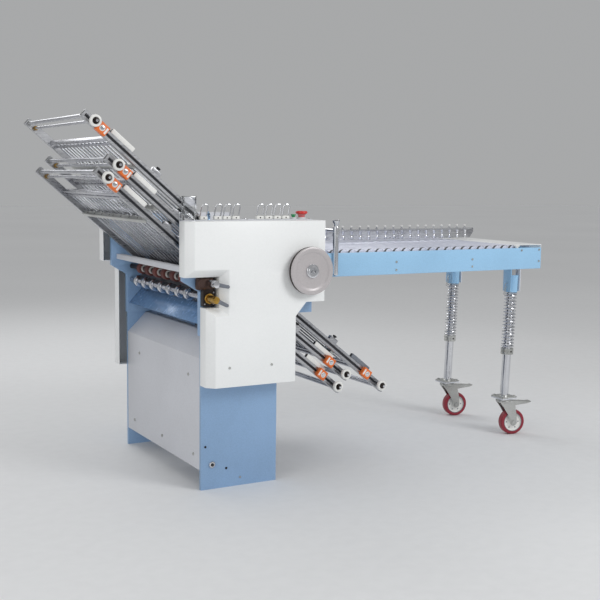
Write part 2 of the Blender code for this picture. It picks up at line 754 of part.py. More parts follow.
def top_deck(machine):
    """The deck over both side plates, dropped between them, with button collars."""
    low, high = UPPER_TOP + SEAT_GAP, UPPER_TOP + SEAT_GAP + DECK_THICK
    left, right = UPPER_LEFT + DECK_SETBACK, UPPER_RIGHT - DECK_SETBACK
    made = block("top_deck", (left, SEAT_GAP, low), (right, UPPER_THICK - SEAT_GAP, high),
                 machine)
    far = MACHINE_WIDTH
    floor = low - DECK_DROP
    other = block("deck_far", (left, far - UPPER_THICK + SEAT_GAP, low),
                  (right, far - SEAT_GAP, high))
    hat = [(SEAT_GAP, low), (DECK_WIDTH - DECK_THICK, low),
           (DECK_WIDTH - DECK_THICK, floor), (far - DECK_WIDTH + DECK_THICK, floor),
           (far - DECK_WIDTH + DECK_THICK, low), (far - SEAT_GAP, low),
           (far - SEAT_GAP, high), (far - DECK_WIDTH, high),
           (far - DECK_WIDTH, floor + DECK_THICK), (DECK_WIDTH, floor + DECK_THICK),
           (DECK_WIDTH, high), (SEAT_GAP, high)]
    length = right - DECK_START
    section = slab("deck_hat", hat, length, location=(DECK_START + length / 2, 0, 0),
                   rotation=(QUARTER, 0, QUARTER))
    fuse(made, other, section)
    for name, x, neck in (("stop", STOP_X, STOP_NECK_RADIUS),
                          ("start", START_X, START_NECK_RADIUS)):
        bore = neck + BUTTON_GUIDE_GAP
        place = Vector((x, BUTTON_Y, 0))
        collar = rod(f"{name}_collar", bore + BUTTON_COLLAR_WALL,
                     place + Vector((0, 0, low + DECK_THICK / 2)),
                     place + Vector((0, 0, high + BUTTON_COLLAR)), sides=ROUND_SIDES)
        hole = drill(f"{name}_hole", bore, place + Vector((0, 0, low - DECK_THICK)),
                     place + Vector((0, 0, high + BUTTON_COLLAR * 2)))
        fuse(made, collar)
        cut(made, hole)
    return dress(made, STEEL)


def deck_surface():
    """Height of the deck's upper face."""
    return UPPER_TOP + SEAT_GAP + DECK_THICK


def button(name, machine, x, neck, head, finish):
    """A push button: a stem in its collar under a wider head."""
    head_radius, head_height = head
    top = BUTTON_COLLAR + BUTTON_LIFT
    bevel = head_height / 4
    profile = [(0, top + head_height), (head_radius - bevel, top + head_height),
               (head_radius, top + head_height - bevel), (head_radius, top + bevel),
               (head_radius - bevel, top), (neck, top), (neck, top - BUTTON_STEM),
               (0, top - BUTTON_STEM)]
    made = turned(name, profile, machine, (x, BUTTON_Y, deck_surface()),
                  sides=ROUND_SIDES)
    return dress(made, finish)


def lift_loop(number, machine):
    """A wire loop on its block: one for each fold roller's gap."""
    length, depth, height = LOOP_BLOCK
    base = Vector((LOOP_PLACES[number - 1], UPPER_THICK / 2, deck_surface() + SEAT_GAP))
    name = f"lift_loop_{number}"
    made = block(name, (-length / 2, -depth / 2, 0), (length / 2, depth / 2, height),
                 machine)
    made.location += base
    half = LOOP_LEGS / 2
    crown = LOOP_HEIGHT - half
    arch = [(half * math.cos(a), crown + half * math.sin(a))
            for a in (math.pi * i / 6 for i in range(7))]
    legs = [(half, -LOOP_ROOT)] + arch + [(-half, -LOOP_ROOT)]
    points = [(x + LOOP_LEAN * z / LOOP_HEIGHT, 0, z) for x, z in legs]
    bail = wire(name + "_wire", points, LOOP_WIRE, location=base + Vector((0, 0, height)))
    return dress(fuse(made, bail), STEEL)


def front_tie_bar(machine):
    """The flat bar that ties the side plates above the exit."""
    side = UPPER_THICK + SEAT_GAP
    made = block("front_tie_bar", (TIE_X - TIE_DEPTH / 2, side, TIE_Z - TIE_HEIGHT / 2),
                 (TIE_X + TIE_DEPTH / 2, MACHINE_WIDTH - side, TIE_Z + TIE_HEIGHT / 2),
                 machine)
    return dress(made, PANEL_PAINT)


def bent_sheet(name, line, thickness, side, machine, finish):
    """A sheet folded along a line in X and Z, between the side plates."""
    points = [Vector((x, z)) for x, z in line]
    offsets = []
    for index, point in enumerate(points):
        before = points[index] - points[index - 1] if index else points[1] - points[0]
        after = points[index + 1] - point if index < len(points) - 1 else before
        normals = [Vector((-run.y, run.x)).normalized() for run in (before, after)]
        mid = (normals[0] + normals[1]).normalized()
        offsets.append(point + mid * thickness / mid.dot(normals[0]))
    outline = [tuple(p) for p in points] + [tuple(p) for p in reversed(offsets)]
    made = upright(name, outline, side, MACHINE_WIDTH - side, machine)
    return dress(made, finish)


def exit_sheets(machine):
    """The deflector under the slitter shafts and the front panel of the stand."""
    low = (DEFLECTOR_FRONT, TABLE_HEIGHT - DEFLECTOR_LOW_DROP)
    high = (DEFLECTOR_BACK, TABLE_HEIGHT - DEFLECTOR_HIGH_DROP)
    lip = (low[0] + DEFLECTOR_LIP, low[1] - SHEET)
    bent_sheet("deflector_plate", [lip, low, high], -SHEET, UPPER_THICK + SEAT_GAP,
               machine, BLUE_PAINT)
    line = [(PANEL_FLANGE, PANEL_BOTTOM), (0, PANEL_BOTTOM), (0, PANEL_CREASE),
            (PANEL_BACK, PANEL_TOP), (PANEL_BACK + PANEL_FLANGE, PANEL_TOP)]
    bent_sheet("front_panel", line, -SHEET, STAND_THICK + SEAT_GAP, machine, PANEL_PAINT)


def motor(machine):
    """The drive motor, flanged to the far stand plate, with its terminal box."""
    back = MACHINE_WIDTH - STAND_THICK - SEAT_GAP
    profile = [(0, MOTOR_LENGTH + MOTOR_STUB), (MOTOR_STUB_RADIUS, MOTOR_LENGTH + MOTOR_STUB),
               (MOTOR_STUB_RADIUS, MOTOR_LENGTH), (MOTOR_BELL_RADIUS, MOTOR_LENGTH),
               (MOTOR_RADIUS, MOTOR_LENGTH - MOTOR_BELL), (MOTOR_RADIUS, MOTOR_FLANGE),
               (MOTOR_FLANGE_RADIUS, MOTOR_FLANGE), (MOTOR_FLANGE_RADIUS, 0), (0, 0)]
    made = turned("motor", profile, machine, (MOTOR_X, back, MOTOR_Z), (QUARTER, 0, 0),
                  ROUND_SIDES)
    length, width, height = MOTOR_BOX
    middle = back - MOTOR_LENGTH / 2
    box = block("motor_box", (MOTOR_X - width / 2, middle - length / 2, MOTOR_Z),
                (MOTOR_X + width / 2, middle + length / 2,
                 MOTOR_Z + MOTOR_RADIUS + height))
    return dress(fuse(made, box), MOTOR_GREY)


def plate_frame_empty(name, machine, number, upper):
    """The frame of one buckle plate: X outwards from its nip, Z along its normal."""
    mouth = nip(2 * number - 1 if upper else 2 * number)
    place = mouth + Vector((0, MACHINE_WIDTH / 2, 0))
    if upper:
        out = Vector((-math.cos(UPPER_TILT), 0, math.sin(UPPER_TILT)))
    else:
        out = Vector((math.cos(LOWER_TILT), 0, -math.sin(LOWER_TILT)))
    normal = Vector((abs(out.z), 0, abs(out.x)))
    across = normal.cross(out)
    turn = Matrix((out, across, normal)).transposed().to_euler()
    near = -1 if across.y > 0 else 1
    return frame_empty(name, machine, place, turn), near


def plate_layout(number, upper):
    """Reach of the knob, the tie rod, the grid's end and the counter of one plate."""
    if upper:
        knob = UPPER_KNOB_REACH[number - 1]
        return (knob, knob + UPPER_ROD_REACH, knob - UPPER_GRID_SETBACK,
                knob - UPPER_COUNTER_SETBACK)
    knob = LOWER_KNOB_REACH[LOWER_PLACE[number]]
    return (knob, knob + LOWER_ROD_REACH, knob - LOWER_GRID_SETBACK,
            knob - LOWER_COUNTER_SETBACK)


# The longest lower plate is the first below the infeed
LOWER_PLACE = {1: 2, 2: 0, 3: 1}


def grid_outline(start, end, half):
    """The outline of a buckle plate's grid and its long slots."""
    outline = [(start, -half), (end, -half), (end, half), (start, half)]
    pitch = 2 * half / GRID_SLOTS
    slots = []
    for index in range(GRID_SLOTS):
        low = -half + pitch * index + GRID_ROD / 2
        high = low + pitch - GRID_ROD
        s_low, s_high = start + GRID_MOUTH, end - GRID_END_BAR
        slots.append([(s_low, low), (s_high, low), (s_high, high), (s_low, high)])
    return outline, slots


def buckle_plate(number, upper, machine):
    """A buckle plate's frame, its stop and its adjusting knob."""
    prefix = f"{'upper' if upper else 'lower'}_plate_{number}"
    carrier, near = plate_frame_empty(prefix + "_axes", machine, number, upper)
    knob, tie, grid_end, counter = plate_layout(number, upper)
    outer = MACHINE_WIDTH / 2 - UPPER_THICK - SEAT_GAP
    inner = outer - RAIL_WIDTH
    frame = plate_frame(prefix, carrier, near, (knob, tie, grid_end, counter),
                        (inner, outer))
    dress(frame, STEEL)
    stop_bar(prefix, carrier, grid_end - STOP_SETBACK, inner)
    plate_knob(prefix, carrier, near, knob, (inner, outer))


def plate_frame(prefix, carrier, near, layout, sides):
    """Rails, grid, tie rod, counter and housings of one buckle plate, as one weldment."""
    knob, tie, grid_end, counter = layout
    inner, outer = sides
    end = tie + RAIL_TAIL
    half = RAIL_HEIGHT / 2
    name = prefix + "_frame"
    low, high = sorted((near * inner, near * outer))
    made = block(name, (RAIL_START, low, -half), (end, high, half), carrier)
    far_low, far_high = sorted((-near * inner, -near * outer))
    far_rail = block(name + "_far_rail", (RAIL_START, far_low, -half),
                     (end, far_high, half), carrier)
    outline, slots = grid_outline(GRID_START, grid_end, inner + BITE)
    grid = slab(name + "_grid", outline, GRID_THICK, carrier, holes=slots)
    rod_end = inner + RAIL_WIDTH / 2
    cross = rod(name + "_tie_rod", TIE_ROD_RADIUS, (tie, -rod_end, 0),
                (tie, rod_end, 0), carrier, FEW_SIDES)
    low, high = sorted((near * (outer - BITE), near * (outer + COUNTER_DEPTH)))
    box = block(name + "_counter", (counter - COUNTER_LENGTH / 2, low, -COUNTER_HEIGHT / 2),
                (counter + COUNTER_LENGTH / 2, high, COUNTER_HEIGHT / 2), carrier)
    low, high = sorted((near * inner, near * outer))
    housing_end = knob - HOUSING_SETBACK
    housing = block(name + "_housing", (housing_end - HOUSING_LENGTH, low, half - BITE),
                    (housing_end, high, half + HOUSING_RISE), carrier)
    guide_end = knob - GUIDE_BLOCK_SETBACK
    guide = block(name + "_guide", (guide_end - GUIDE_BLOCK_LENGTH, low, half - BITE),
                  (guide_end, high, half + GUIDE_BLOCK_RISE), carrier)
    fuse(made, far_rail, grid, cross, box, housing, guide)
    bore = drill(name + "_bore", KNOB_SHAFT + BORE_CLEARANCE, (knob, -outer * 2, 0),
                 (knob, outer * 2, 0), carrier, FEW_SIDES)
    return cut(made, bore)


def stop_bar(prefix, carrier, reach, inner):
    """The sheet stop: a bar under the grid with fingers up through its slots."""
    name = prefix + "_stop"
    top = -GRID_THICK / 2 - SEAT_GAP
    side = inner - STOP_END_GAP
    made = block(name, (-STOP_LENGTH / 2, -side, top - STOP_DEPTH),
                 (STOP_LENGTH / 2, side, top), carrier)
    made.location.x += reach
    pitch = 2 * (inner + BITE) / GRID_SLOTS
    stride = GRID_SLOTS // STOP_FINGERS
    fingers = []
    for index in range(STOP_FINGERS):
        middle = -inner - BITE + pitch * (stride * index + 3 / 2)
        fingers.append(block(f"{name}_finger_{index}",
                             (reach - FINGER_LENGTH / 2, middle - FINGER_WIDTH / 2,
                              top - STOP_DEPTH / 2),
                             (reach + FINGER_LENGTH / 2, middle + FINGER_WIDTH / 2,
                              FINGER_RISE), carrier))
    comb = gather(name + "_fingers", fingers)
    return dress(fuse(made, comb), ZINC)


def plate_knob(prefix, carrier, near, reach, sides):
    """The adjusting knob on its cross shaft, with a pinion inside each rail."""
    inner, outer = sides
    pinion = inner - PINION_GAP
    disc = outer + KNOB_OUTSET
    tip = disc + KNOB_WIDTH + KNOB_HUB
    profile = [(0, tip), (KNOB_HUB_RADIUS, tip), (KNOB_HUB_RADIUS, disc + KNOB_WIDTH),
               (KNOB_RADIUS, disc + KNOB_WIDTH), (KNOB_RADIUS, disc),
               (KNOB_SHAFT, disc), (KNOB_SHAFT, pinion),
               (PINION_RADIUS, pinion), (PINION_RADIUS, pinion - PINION_WIDTH),
               (KNOB_SHAFT, pinion - PINION_WIDTH),
               (KNOB_SHAFT, -pinion + PINION_WIDTH),
               (PINION_RADIUS, -pinion + PINION_WIDTH), (PINION_RADIUS, -pinion),
               (KNOB_SHAFT, -pinion), (KNOB_SHAFT, -outer), (0, -outer)]
    made = turned(prefix + "_knob", profile, carrier, (reach, 0, 0),
                  (-near * QUARTER, 0, 0), FINE_SIDES)
    return dress(made, WHITE_PLASTIC)


def leg_places():
    """Where the two spring legs stand across the table."""
    middle = MACHINE_WIDTH / 2
    return {"near": middle - LEG_SPREAD / 2, "far": middle + LEG_SPREAD / 2}


def along_leg(height, y):
    """A point on a leg's leaning axis at a given height."""
    return Vector((LEG_X + (height - LEG_PIVOT_Z) * math.tan(LEG_LEAN), y, height))


def leg_brackets():
    """Two flats and a socket for each leg, welded under the end of the table."""
    flats, sockets, bores = [], [], []
    for side, y in leg_places().items():
        for place, top in ((-1, RAIL_TOP - BITE), (1, TABLE_HEIGHT - BITE)):
            low_x = LEG_X + place * BRACKET_REACH - BRACKET_THICK / 2
            flats.append(block(f"{side}_flat_{place}",
                               (low_x, y - BRACKET_WIDTH / 2, BRACKET_LOW),
                               (low_x + BRACKET_THICK, y + BRACKET_WIDTH / 2, top)))
        bore = LEG_TUBE_RADIUS + RUNNING_GAP
        sockets.append(rod(f"{side}_socket", bore + SOCKET_WALL, along_leg(SOCKET_LOW, y),
                           along_leg(SOCKET_HIGH, y), sides=ROUND_SIDES))
        bores.append(drill(f"{side}_bore", bore, along_leg(SOCKET_LOW - SOCKET_WALL, y),
                           along_leg(SOCKET_HIGH + SOCKET_WALL, y)))
    return (gather("leg_flats", flats), gather("leg_sockets", sockets),
            gather("leg_bores", bores))


def table_rollers():
    """The table's rollers, each let into both rails."""
    bars = []
    for index in range(TABLE_ROLLERS):
        x = LAST_ROLLER_X - TABLE_ROLLER_PITCH * index
        z = TABLE_HEIGHT - TABLE_ROLLER_RADIUS
        bars.append(rod(f"table_roller_{index}", TABLE_ROLLER_RADIUS,
                        (x, TABLE_RAIL - 2 * BITE, z),
                        (x, MACHINE_WIDTH - TABLE_RAIL + 2 * BITE, z), sides=FEW_SIDES))
    return gather("table_rollers", bars)


def cross_members():
    """Bars between the rails, the infeed plate and the end plate."""
    inside = TABLE_RAIL - BITE
    start = UPPER_RIGHT + SEAT_GAP
    ends = [start, LEG_X - BRACKET_REACH - BRACKET_THICK / 2 - BITE]
    bars = [block(f"cross_{index}", (x, inside, RAIL_BOTTOM),
                  (x + BRACKET_THICK, MACHINE_WIDTH - inside, RAIL_TOP))
            for index, x in enumerate(ends)]
    return gather("cross_bars", bars)


def table_plates():
    """The infeed plate between the side plates and the plate at the table's end."""
    top = TABLE_HEIGHT - INFEED_DROP
    infeed = block("infeed_plate", (INFEED_START, INFEED_SIDE, top - CROSS_THICK),
                   (UPPER_RIGHT + BRACKET_THICK, MACHINE_WIDTH - INFEED_SIDE, top))
    side = INFEED_SIDE + CROSS_THICK
    web = block("infeed_web", (UPPER_RIGHT + SEAT_GAP + BITE, side, RAIL_TOP - BITE),
                (UPPER_RIGHT + BRACKET_THICK - BITE, MACHINE_WIDTH - side,
                 top - CROSS_THICK + BITE))
    right = TABLE_END + END_PLATE_REACH
    end_low = TABLE_HEIGHT - SHEET
    end = [(END_PLATE_START, end_low), (right - SHEET, end_low),
           (right - SHEET, TABLE_HEIGHT - END_LIP), (right, TABLE_HEIGHT - END_LIP),
           (right, TABLE_HEIGHT), (END_PLATE_START, TABLE_HEIGHT)]
    plate = upright("end_plate", end, END_PLATE_SIDE, MACHINE_WIDTH - END_PLATE_SIDE)
    post_x = LEG_X - BRACKET_REACH
    side = END_PLATE_SIDE + BRACKET_THICK
    post = block("end_post", (post_x - BRACKET_THICK / 4, side, RAIL_TOP - 2 * BITE),
                 (post_x + BRACKET_THICK / 4, MACHINE_WIDTH - side, end_low + BITE))
    return infeed, web, plate, post


def guide_bridge():
    """The bridge bar over the table, its two arms on the rails and its knob."""
    half = ARM_WIDTH / 2
    near_arm = block("bridge_near_arm", (BRIDGE_X - half, BITE - ARM_DEPTH, ARM_BOTTOM),
                     (BRIDGE_X + half, BITE, ARM_TOP))
    far_arm = block("bridge_far_arm",
                    (BRIDGE_X - half, MACHINE_WIDTH - BITE, ARM_BOTTOM),
                    (BRIDGE_X + half, MACHINE_WIDTH + ARM_DEPTH - BITE, ARM_TOP))
    arms = gather("bridge_arms", [near_arm, far_arm])
    reach = ARM_DEPTH / 2
    bar = rod("bridge_bar", BRIDGE_RADIUS, (BRIDGE_X, -reach, BRIDGE_Z),
              (BRIDGE_X, MACHINE_WIDTH + reach, BRIDGE_Z))
    knob_y = BITE - ARM_DEPTH / 2
    top = ARM_TOP + BRIDGE_KNOB_NECK
    profile = [(0, top + BRIDGE_KNOB), (BRIDGE_KNOB_RADIUS, top + BRIDGE_KNOB),
               (BRIDGE_KNOB_RADIUS * 3 / 4, top), (BRIDGE_RADIUS, top),
               (BRIDGE_RADIUS, ARM_TOP - BITE), (0, ARM_TOP - BITE)]
    knob = turned("bridge_knob", profile, None, (BRIDGE_X, knob_y, 0), sides=SMALL_SIDES)
    return arms, bar, as_mesh(knob)


def table_frame(machine):
    """The infeed table's weldment: rails, bars, rollers, plates, sockets and bridge."""
    start = UPPER_RIGHT + SEAT_GAP
    made = block("table_frame", (start, 0, RAIL_BOTTOM), (TABLE_END, TABLE_RAIL, RAIL_TOP),
                 machine)
    far_rail = block("table_far_rail", (start, MACHINE_WIDTH - TABLE_RAIL, RAIL_BOTTOM),
                     (TABLE_END, MACHINE_WIDTH, RAIL_TOP))
    side = UPPER_THICK + SEAT_GAP
    splices = []
    for name, near, far in (("near", TABLE_RAIL - BITE, side),
                            ("far", MACHINE_WIDTH - TABLE_RAIL + BITE,
                             MACHINE_WIDTH - side)):
        inner = far + math.copysign(SPLICE_THICK, far - near)
        outline = [(start, near), (SPLICE_END, near), (SPLICE_END, inner),
                   (SPLICE_START, inner), (SPLICE_START, far), (start, far)]
        height = RAIL_TOP - RAIL_BOTTOM - 2 * SPLICE_MARGIN
        middle = (RAIL_TOP + RAIL_BOTTOM) / 2
        splices.append(slab(name + "_splice", outline, height, location=(0, 0, middle)))
    flats, sockets, bores = leg_brackets()
    fuse(made, far_rail, cross_members(), gather("splices", splices), table_rollers(),
         *table_plates(), flats, sockets, *guide_bridge())
    cut(made, bores)
    return dress(made, RAIL_PAINT)


def side_guide(machine):
    """The side guide: a rail with ball posts, on a slider round the bridge bar."""
    half = GUIDE_THICK / 2
    made = block("side_guide", (GUIDE_START, GUIDE_Y - half, GUIDE_LOW),
                 (GUIDE_END, GUIDE_Y + half, GUIDE_HIGH - BITE), machine)
    top = block("guide_top", (GUIDE_START, GUIDE_Y - GUIDE_TOP_WIDTH / 2,
                              GUIDE_HIGH - GUIDE_TOP_THICK),
                (GUIDE_END, GUIDE_Y + GUIDE_TOP_WIDTH / 2, GUIDE_HIGH))
    reach = GUIDE_SLIDER / 2
    slider = block("guide_slider", (BRIDGE_X - reach, GUIDE_Y - reach, GUIDE_HIGH - BITE),
                   (BRIDGE_X + reach, GUIDE_Y + reach, GUIDE_SLIDER_TOP))
    posts = []
    for index in range(GUIDE_POSTS):
        x = GUIDE_END - GUIDE_POST_END - GUIDE_POST_PITCH * index
        if abs(x - BRIDGE_X) > reach + GUIDE_POST_RADIUS and x > GUIDE_START:
            posts.append(rod(f"guide_post_{index}", GUIDE_POST_RADIUS,
                             (x, GUIDE_Y, GUIDE_HIGH - BITE),
                             (x, GUIDE_Y, GUIDE_HIGH + GUIDE_POST_RISE), sides=FEW_SIDES))
    fuse(made, top, slider, gather("guide_posts", posts))
    hole = drill("guide_bore", BRIDGE_RADIUS + BORE_CLEARANCE,
                 (BRIDGE_X, GUIDE_Y - GUIDE_SLIDER, BRIDGE_Z),
                 (BRIDGE_X, GUIDE_Y + GUIDE_SLIDER, BRIDGE_Z))
    cut(made, hole)
    return dress(made, STEEL)


def spring_points(start, end):
    """Points along a leg spring's helix, with a short straight run at each end."""
    count = SPRING_TURNS * SPRING_POINTS
    points = []
    for index in range(count + 1):
        angle = math.tau * index / SPRING_POINTS
        points.append(Vector((SPRING_RADIUS * math.cos(angle),
                              SPRING_RADIUS * math.sin(angle),
                              start + (end - start) * index / count)))
    lead = Vector((0, -2 * SPRING_WIRE, 0))
    return [points[0] + lead] + points + [points[-1] - lead]


def least_gap(points, wire_radius):
    """Smallest clear distance between parts of a wire half a curl or more apart."""
    skip = SPRING_POINTS // 2
    best = math.inf
    for index, first in enumerate(points):
        for second in points[index + skip:index + 2 * SPRING_POINTS]:
            best = min(best, (first - second).length - 2 * wire_radius)
    return best


def spring_leg(side, y, machine):
    """The sliding tube with its collar and foot plate, and its coil spring."""
    foot = along_leg(LEG_FOOT_Z, y)
    leg = frame_empty(f"{side}_leg_axis", machine, foot, (0, LEG_LEAN, 0))
    scale = 1 / math.cos(LEG_LEAN)

    def up(height):
        return (height - LEG_FOOT_Z) * scale

    profile = [(0, up(LEG_TUBE_TOP)), (LEG_TUBE_RADIUS, up(LEG_TUBE_TOP)),
               (LEG_TUBE_RADIUS, up(COLLAR_HIGH)), (COLLAR_RADIUS, up(COLLAR_HIGH)),
               (COLLAR_RADIUS, up(COLLAR_LOW)), (LEG_TUBE_RADIUS, up(COLLAR_LOW)),
               (LEG_TUBE_RADIUS, 0), (0, 0)]
    tube = turned(f"{side}_leg_tube", profile, leg, (0, 0, 0), sides=ROUND_SIDES)
    half = FOOT_PLATE / 2
    under = LEG_FOOT_Z - FOOT_PLATE_THICK / 2
    plate = block(f"{side}_foot_plate", (foot.x - half, y - half, under),
                  (foot.x + half, y + half, under + FOOT_PLATE_THICK))
    king_end = crown_top() + SEAT_GAP
    king = rod(f"{side}_king_boss", KING_RADIUS, (foot.x, y, under + BITE),
               (foot.x, y, king_end), sides=ROUND_SIDES)
    dress(fuse(tube, plate, king), STEEL)
    clear = SPRING_WIRE + SEAT_GAP
    points = spring_points(up(COLLAR_HIGH) + clear, up(SOCKET_LOW) - clear)
    print(f"{side} leg spring: least gap to itself "
          f"{least_gap(points, SPRING_WIRE) * 1000:.2f} mm, {SPRING_TURNS} curls")
    dress(wire(f"{side}_leg_spring", points, SPRING_WIRE, leg), ZINC)
    return foot


def crown_top():
    """Height of the caster fork's crown, under the leg's king boss."""
    return LEG_FOOT_Z - FOOT_PLATE_THICK / 2 - 2 * SEAT_GAP - BITE * 2


def caster(side, foot, machine):
    """A braked caster: fork, axle and pedal turn together, and the wheel spins."""
    swivel = frame_empty(f"{side}_caster_swivel", machine, (foot.x, foot.y, 0),
                         (0, 0, -CASTER_YAW))
    top = crown_top()
    fork = rod(f"{side}_caster_fork", CROWN_RADIUS, (0, 0, top - CROWN_THICK), (0, 0, top),
               swivel, ROUND_SIDES)
    hub = (CASTER_TRAIL, CASTER_RADIUS)
    foot_arc = [(hub[0] + FORK_FOOT_RADIUS * math.sin(a),
                 hub[1] - FORK_FOOT_RADIUS * math.cos(a))
                for a in (math.pi * (i / 5 - 1 / 2) for i in range(6))]
    outline = [(FORK_TOP_LEFT, top - CROWN_THICK / 3),
               (FORK_TOP_LEFT, top - CROWN_THICK)] + foot_arc
    outline += [(FORK_TOP_RIGHT, top - CROWN_THICK), (FORK_TOP_RIGHT, top - CROWN_THICK / 3)]
    cheeks = [upright(f"{side}_cheek_{sign}", outline,
                      min(sign * FORK_INNER, sign * (FORK_INNER + FORK_THICK)),
                      max(sign * FORK_INNER, sign * (FORK_INNER + FORK_THICK)), swivel)
              for sign in (-1, 1)]
    reach = FORK_INNER + FORK_THICK * 2
    axle = rod(f"{side}_axle", AXLE_RADIUS, (CASTER_TRAIL, -reach, CASTER_RADIUS),
               (CASTER_TRAIL, reach, CASTER_RADIUS), swivel)
    pedal_top = top - CROWN_THICK / 2
    pedal = upright(f"{side}_pedal",
                    [(0, pedal_top), (0, pedal_top - PEDAL_THICK),
                     (PEDAL_REACH, pedal_top - PEDAL_THICK - PEDAL_DROP),
                     (PEDAL_REACH, pedal_top - PEDAL_DROP)],
                    -PEDAL_WIDTH / 2, PEDAL_WIDTH / 2, swivel)
    dress(fuse(fork, gather(f"{side}_cheeks", cheeks), axle, pedal), ZINC)
    caster_wheel(side, swivel)


def caster_wheel(side, swivel):
    """The caster's wheel: hub, web, rim and tyre round the axle."""
    bore = AXLE_RADIUS + RUNNING_GAP
    hub = FORK_INNER - SEAT_GAP
    web, tread = CASTER_WEB / 2, CASTER_TREAD / 2
    rim = CASTER_RADIUS - CASTER_RIM_INSET
    rise = CASTER_SHOULDER
    half = [(bore, hub), (CASTER_HUB_RADIUS, hub), (CASTER_HUB_RADIUS, web), (rim, web),
            (rim, tread), (CASTER_RADIUS - rise, tread), (CASTER_RADIUS, tread - rise)]
    profile = half + [(radius, -height) for radius, height in reversed(half)]
    wheel = turned(f"{side}_caster_wheel", profile, swivel,
                   (CASTER_TRAIL, 0, CASTER_RADIUS), (QUARTER, 0, 0), CASTER_SIDES,
                   closed=True)
    return dress(wheel, RED_TYRE)


def centre_on_floor(machine):
    """Move the machine so that the origin is under the middle of its outline."""
    bpy.context.view_layer.update()
    graph = bpy.context.evaluated_depsgraph_get()
    places = []
    for made in PARTS.objects:
        if made.type == "MESH":
            mesh = made.evaluated_get(graph).data
            places += [made.matrix_world @ vert.co for vert in mesh.vertices]
    for axis in (0, 1):
        values = [place[axis] for place in places]
        machine.location[axis] = -(min(values) + max(values)) / 2
    machine.location[2] = -min(place.z for place in places)


def build():
    """Make every piece of the machine."""
    machine = frame_empty("machine_axes", None, (0, 0, 0))
    side_plate("near_side_plate", machine, False)
    side_plate("far_side_plate", machine, True)
    for number in range(1, ROLLER_COUNT + 1):
        fold_roller(number, machine)
    slitter_shafts(machine)
    clamp_lever("upper_clamp_lever", machine, SLITTER_UPPER_Z, UPPER_CLAMP_TILT)
    clamp_lever("lower_clamp_lever", machine, SLITTER_LOWER_Z, LOWER_CLAMP_TILT)
    handwheel(machine)
    cover("near_cover", machine, True, -SEAT_GAP, -1)
    cover("far_cover", machine, False, MACHINE_WIDTH + SEAT_GAP, 1)
    top_deck(machine)
    button("stop_button", machine, STOP_X, STOP_NECK_RADIUS,
           (STOP_HEAD_RADIUS, STOP_HEAD), RED_PLASTIC)
    button("start_button", machine, START_X, START_NECK_RADIUS,
           (START_HEAD_RADIUS, START_HEAD), GREEN_PLASTIC)
    for number in range(1, len(LOOP_PLACES) + 1):
        lift_loop(number, machine)
    front_tie_bar(machine)
    exit_sheets(machine)
    motor(machine)
    for upper in (True, False):
        for number in (1, 2, 3):
            buckle_plate(number, upper, machine)
    table_frame(machine)
    side_guide(machine)
    for side, y in leg_places().items():
        caster(side, spring_leg(side, y, machine), machine)
    centre_on_floor(machine)


clear_scene()
PARTS = new_collection(OBJECT_NAME)
CUTTERS = new_collection("cutters")
build()
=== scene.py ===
"""Paper folding machine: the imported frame, dressed piece by piece for its photograph.

Each operator models one piece, or one group of like pieces, on the frame. The pieces are
drawn in the machine's own coordinates (metres, X along the infeed table, Y from the
operator's side to the far side, Z up), and settle() moves them into the row frame.
"""
import math

import bmesh
import bpy
from mathutils import Matrix, Vector


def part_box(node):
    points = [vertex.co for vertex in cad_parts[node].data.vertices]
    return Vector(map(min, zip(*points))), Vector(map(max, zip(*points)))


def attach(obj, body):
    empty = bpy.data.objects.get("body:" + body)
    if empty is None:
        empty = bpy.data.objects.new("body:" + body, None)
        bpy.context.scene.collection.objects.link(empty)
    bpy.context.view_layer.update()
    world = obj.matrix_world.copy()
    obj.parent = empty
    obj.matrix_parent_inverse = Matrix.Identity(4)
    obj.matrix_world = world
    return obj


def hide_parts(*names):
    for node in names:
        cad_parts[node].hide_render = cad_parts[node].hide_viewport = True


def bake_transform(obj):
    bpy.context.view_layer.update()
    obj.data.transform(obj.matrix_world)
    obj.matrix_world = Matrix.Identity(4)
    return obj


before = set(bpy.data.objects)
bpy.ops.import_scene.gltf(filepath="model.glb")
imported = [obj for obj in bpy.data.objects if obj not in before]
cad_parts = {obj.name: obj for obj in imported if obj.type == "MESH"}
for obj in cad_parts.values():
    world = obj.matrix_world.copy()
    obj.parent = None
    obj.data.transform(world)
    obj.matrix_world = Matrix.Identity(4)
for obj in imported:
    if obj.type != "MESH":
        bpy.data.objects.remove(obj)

bl_info = {
    "name": "Paper Folding Machine",
    "version": (1, 0, 0),
    "blender": (4, 5, 0),
    "location": "3D View > Sidebar > Folder",
    "description": "Dresses a floor-standing paper folding machine, piece by piece",
    "category": "Add Mesh",
}

bpy.ops.object.select_all(action="DESELECT")
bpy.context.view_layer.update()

# The machine's own zero: the outer bottom corner of the near side plate
UPPER_LEFT = -0.062
PLATE_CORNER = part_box("near_side_plate")[0]
ORIGIN = Vector((PLATE_CORNER[0] - UPPER_LEFT, PLATE_CORNER[1], PLATE_CORNER[2]))
WIDTH = 0.675
TABLE = 0.760
DECK = 0.8653
SMOOTH = math.radians(35)
FIRST_NIP_X = 0.126
STACK = math.radians(63.3)
STEP = 0.026


# Shaping

def only(*pieces):
    """Select these objects alone, the first one active."""
    bpy.ops.object.select_all(action="DESELECT")
    for piece in pieces:
        piece.select_set(True)
    bpy.context.view_layer.objects.active = pieces[0]


def edit(piece, mode="FACE"):
    """Go into edit mode on one object."""
    only(piece)
    bpy.ops.object.mode_set(mode="EDIT")
    bpy.ops.mesh.select_mode(type=mode)


def leave():
    """Back to object mode."""
    bpy.ops.object.mode_set(mode="OBJECT")


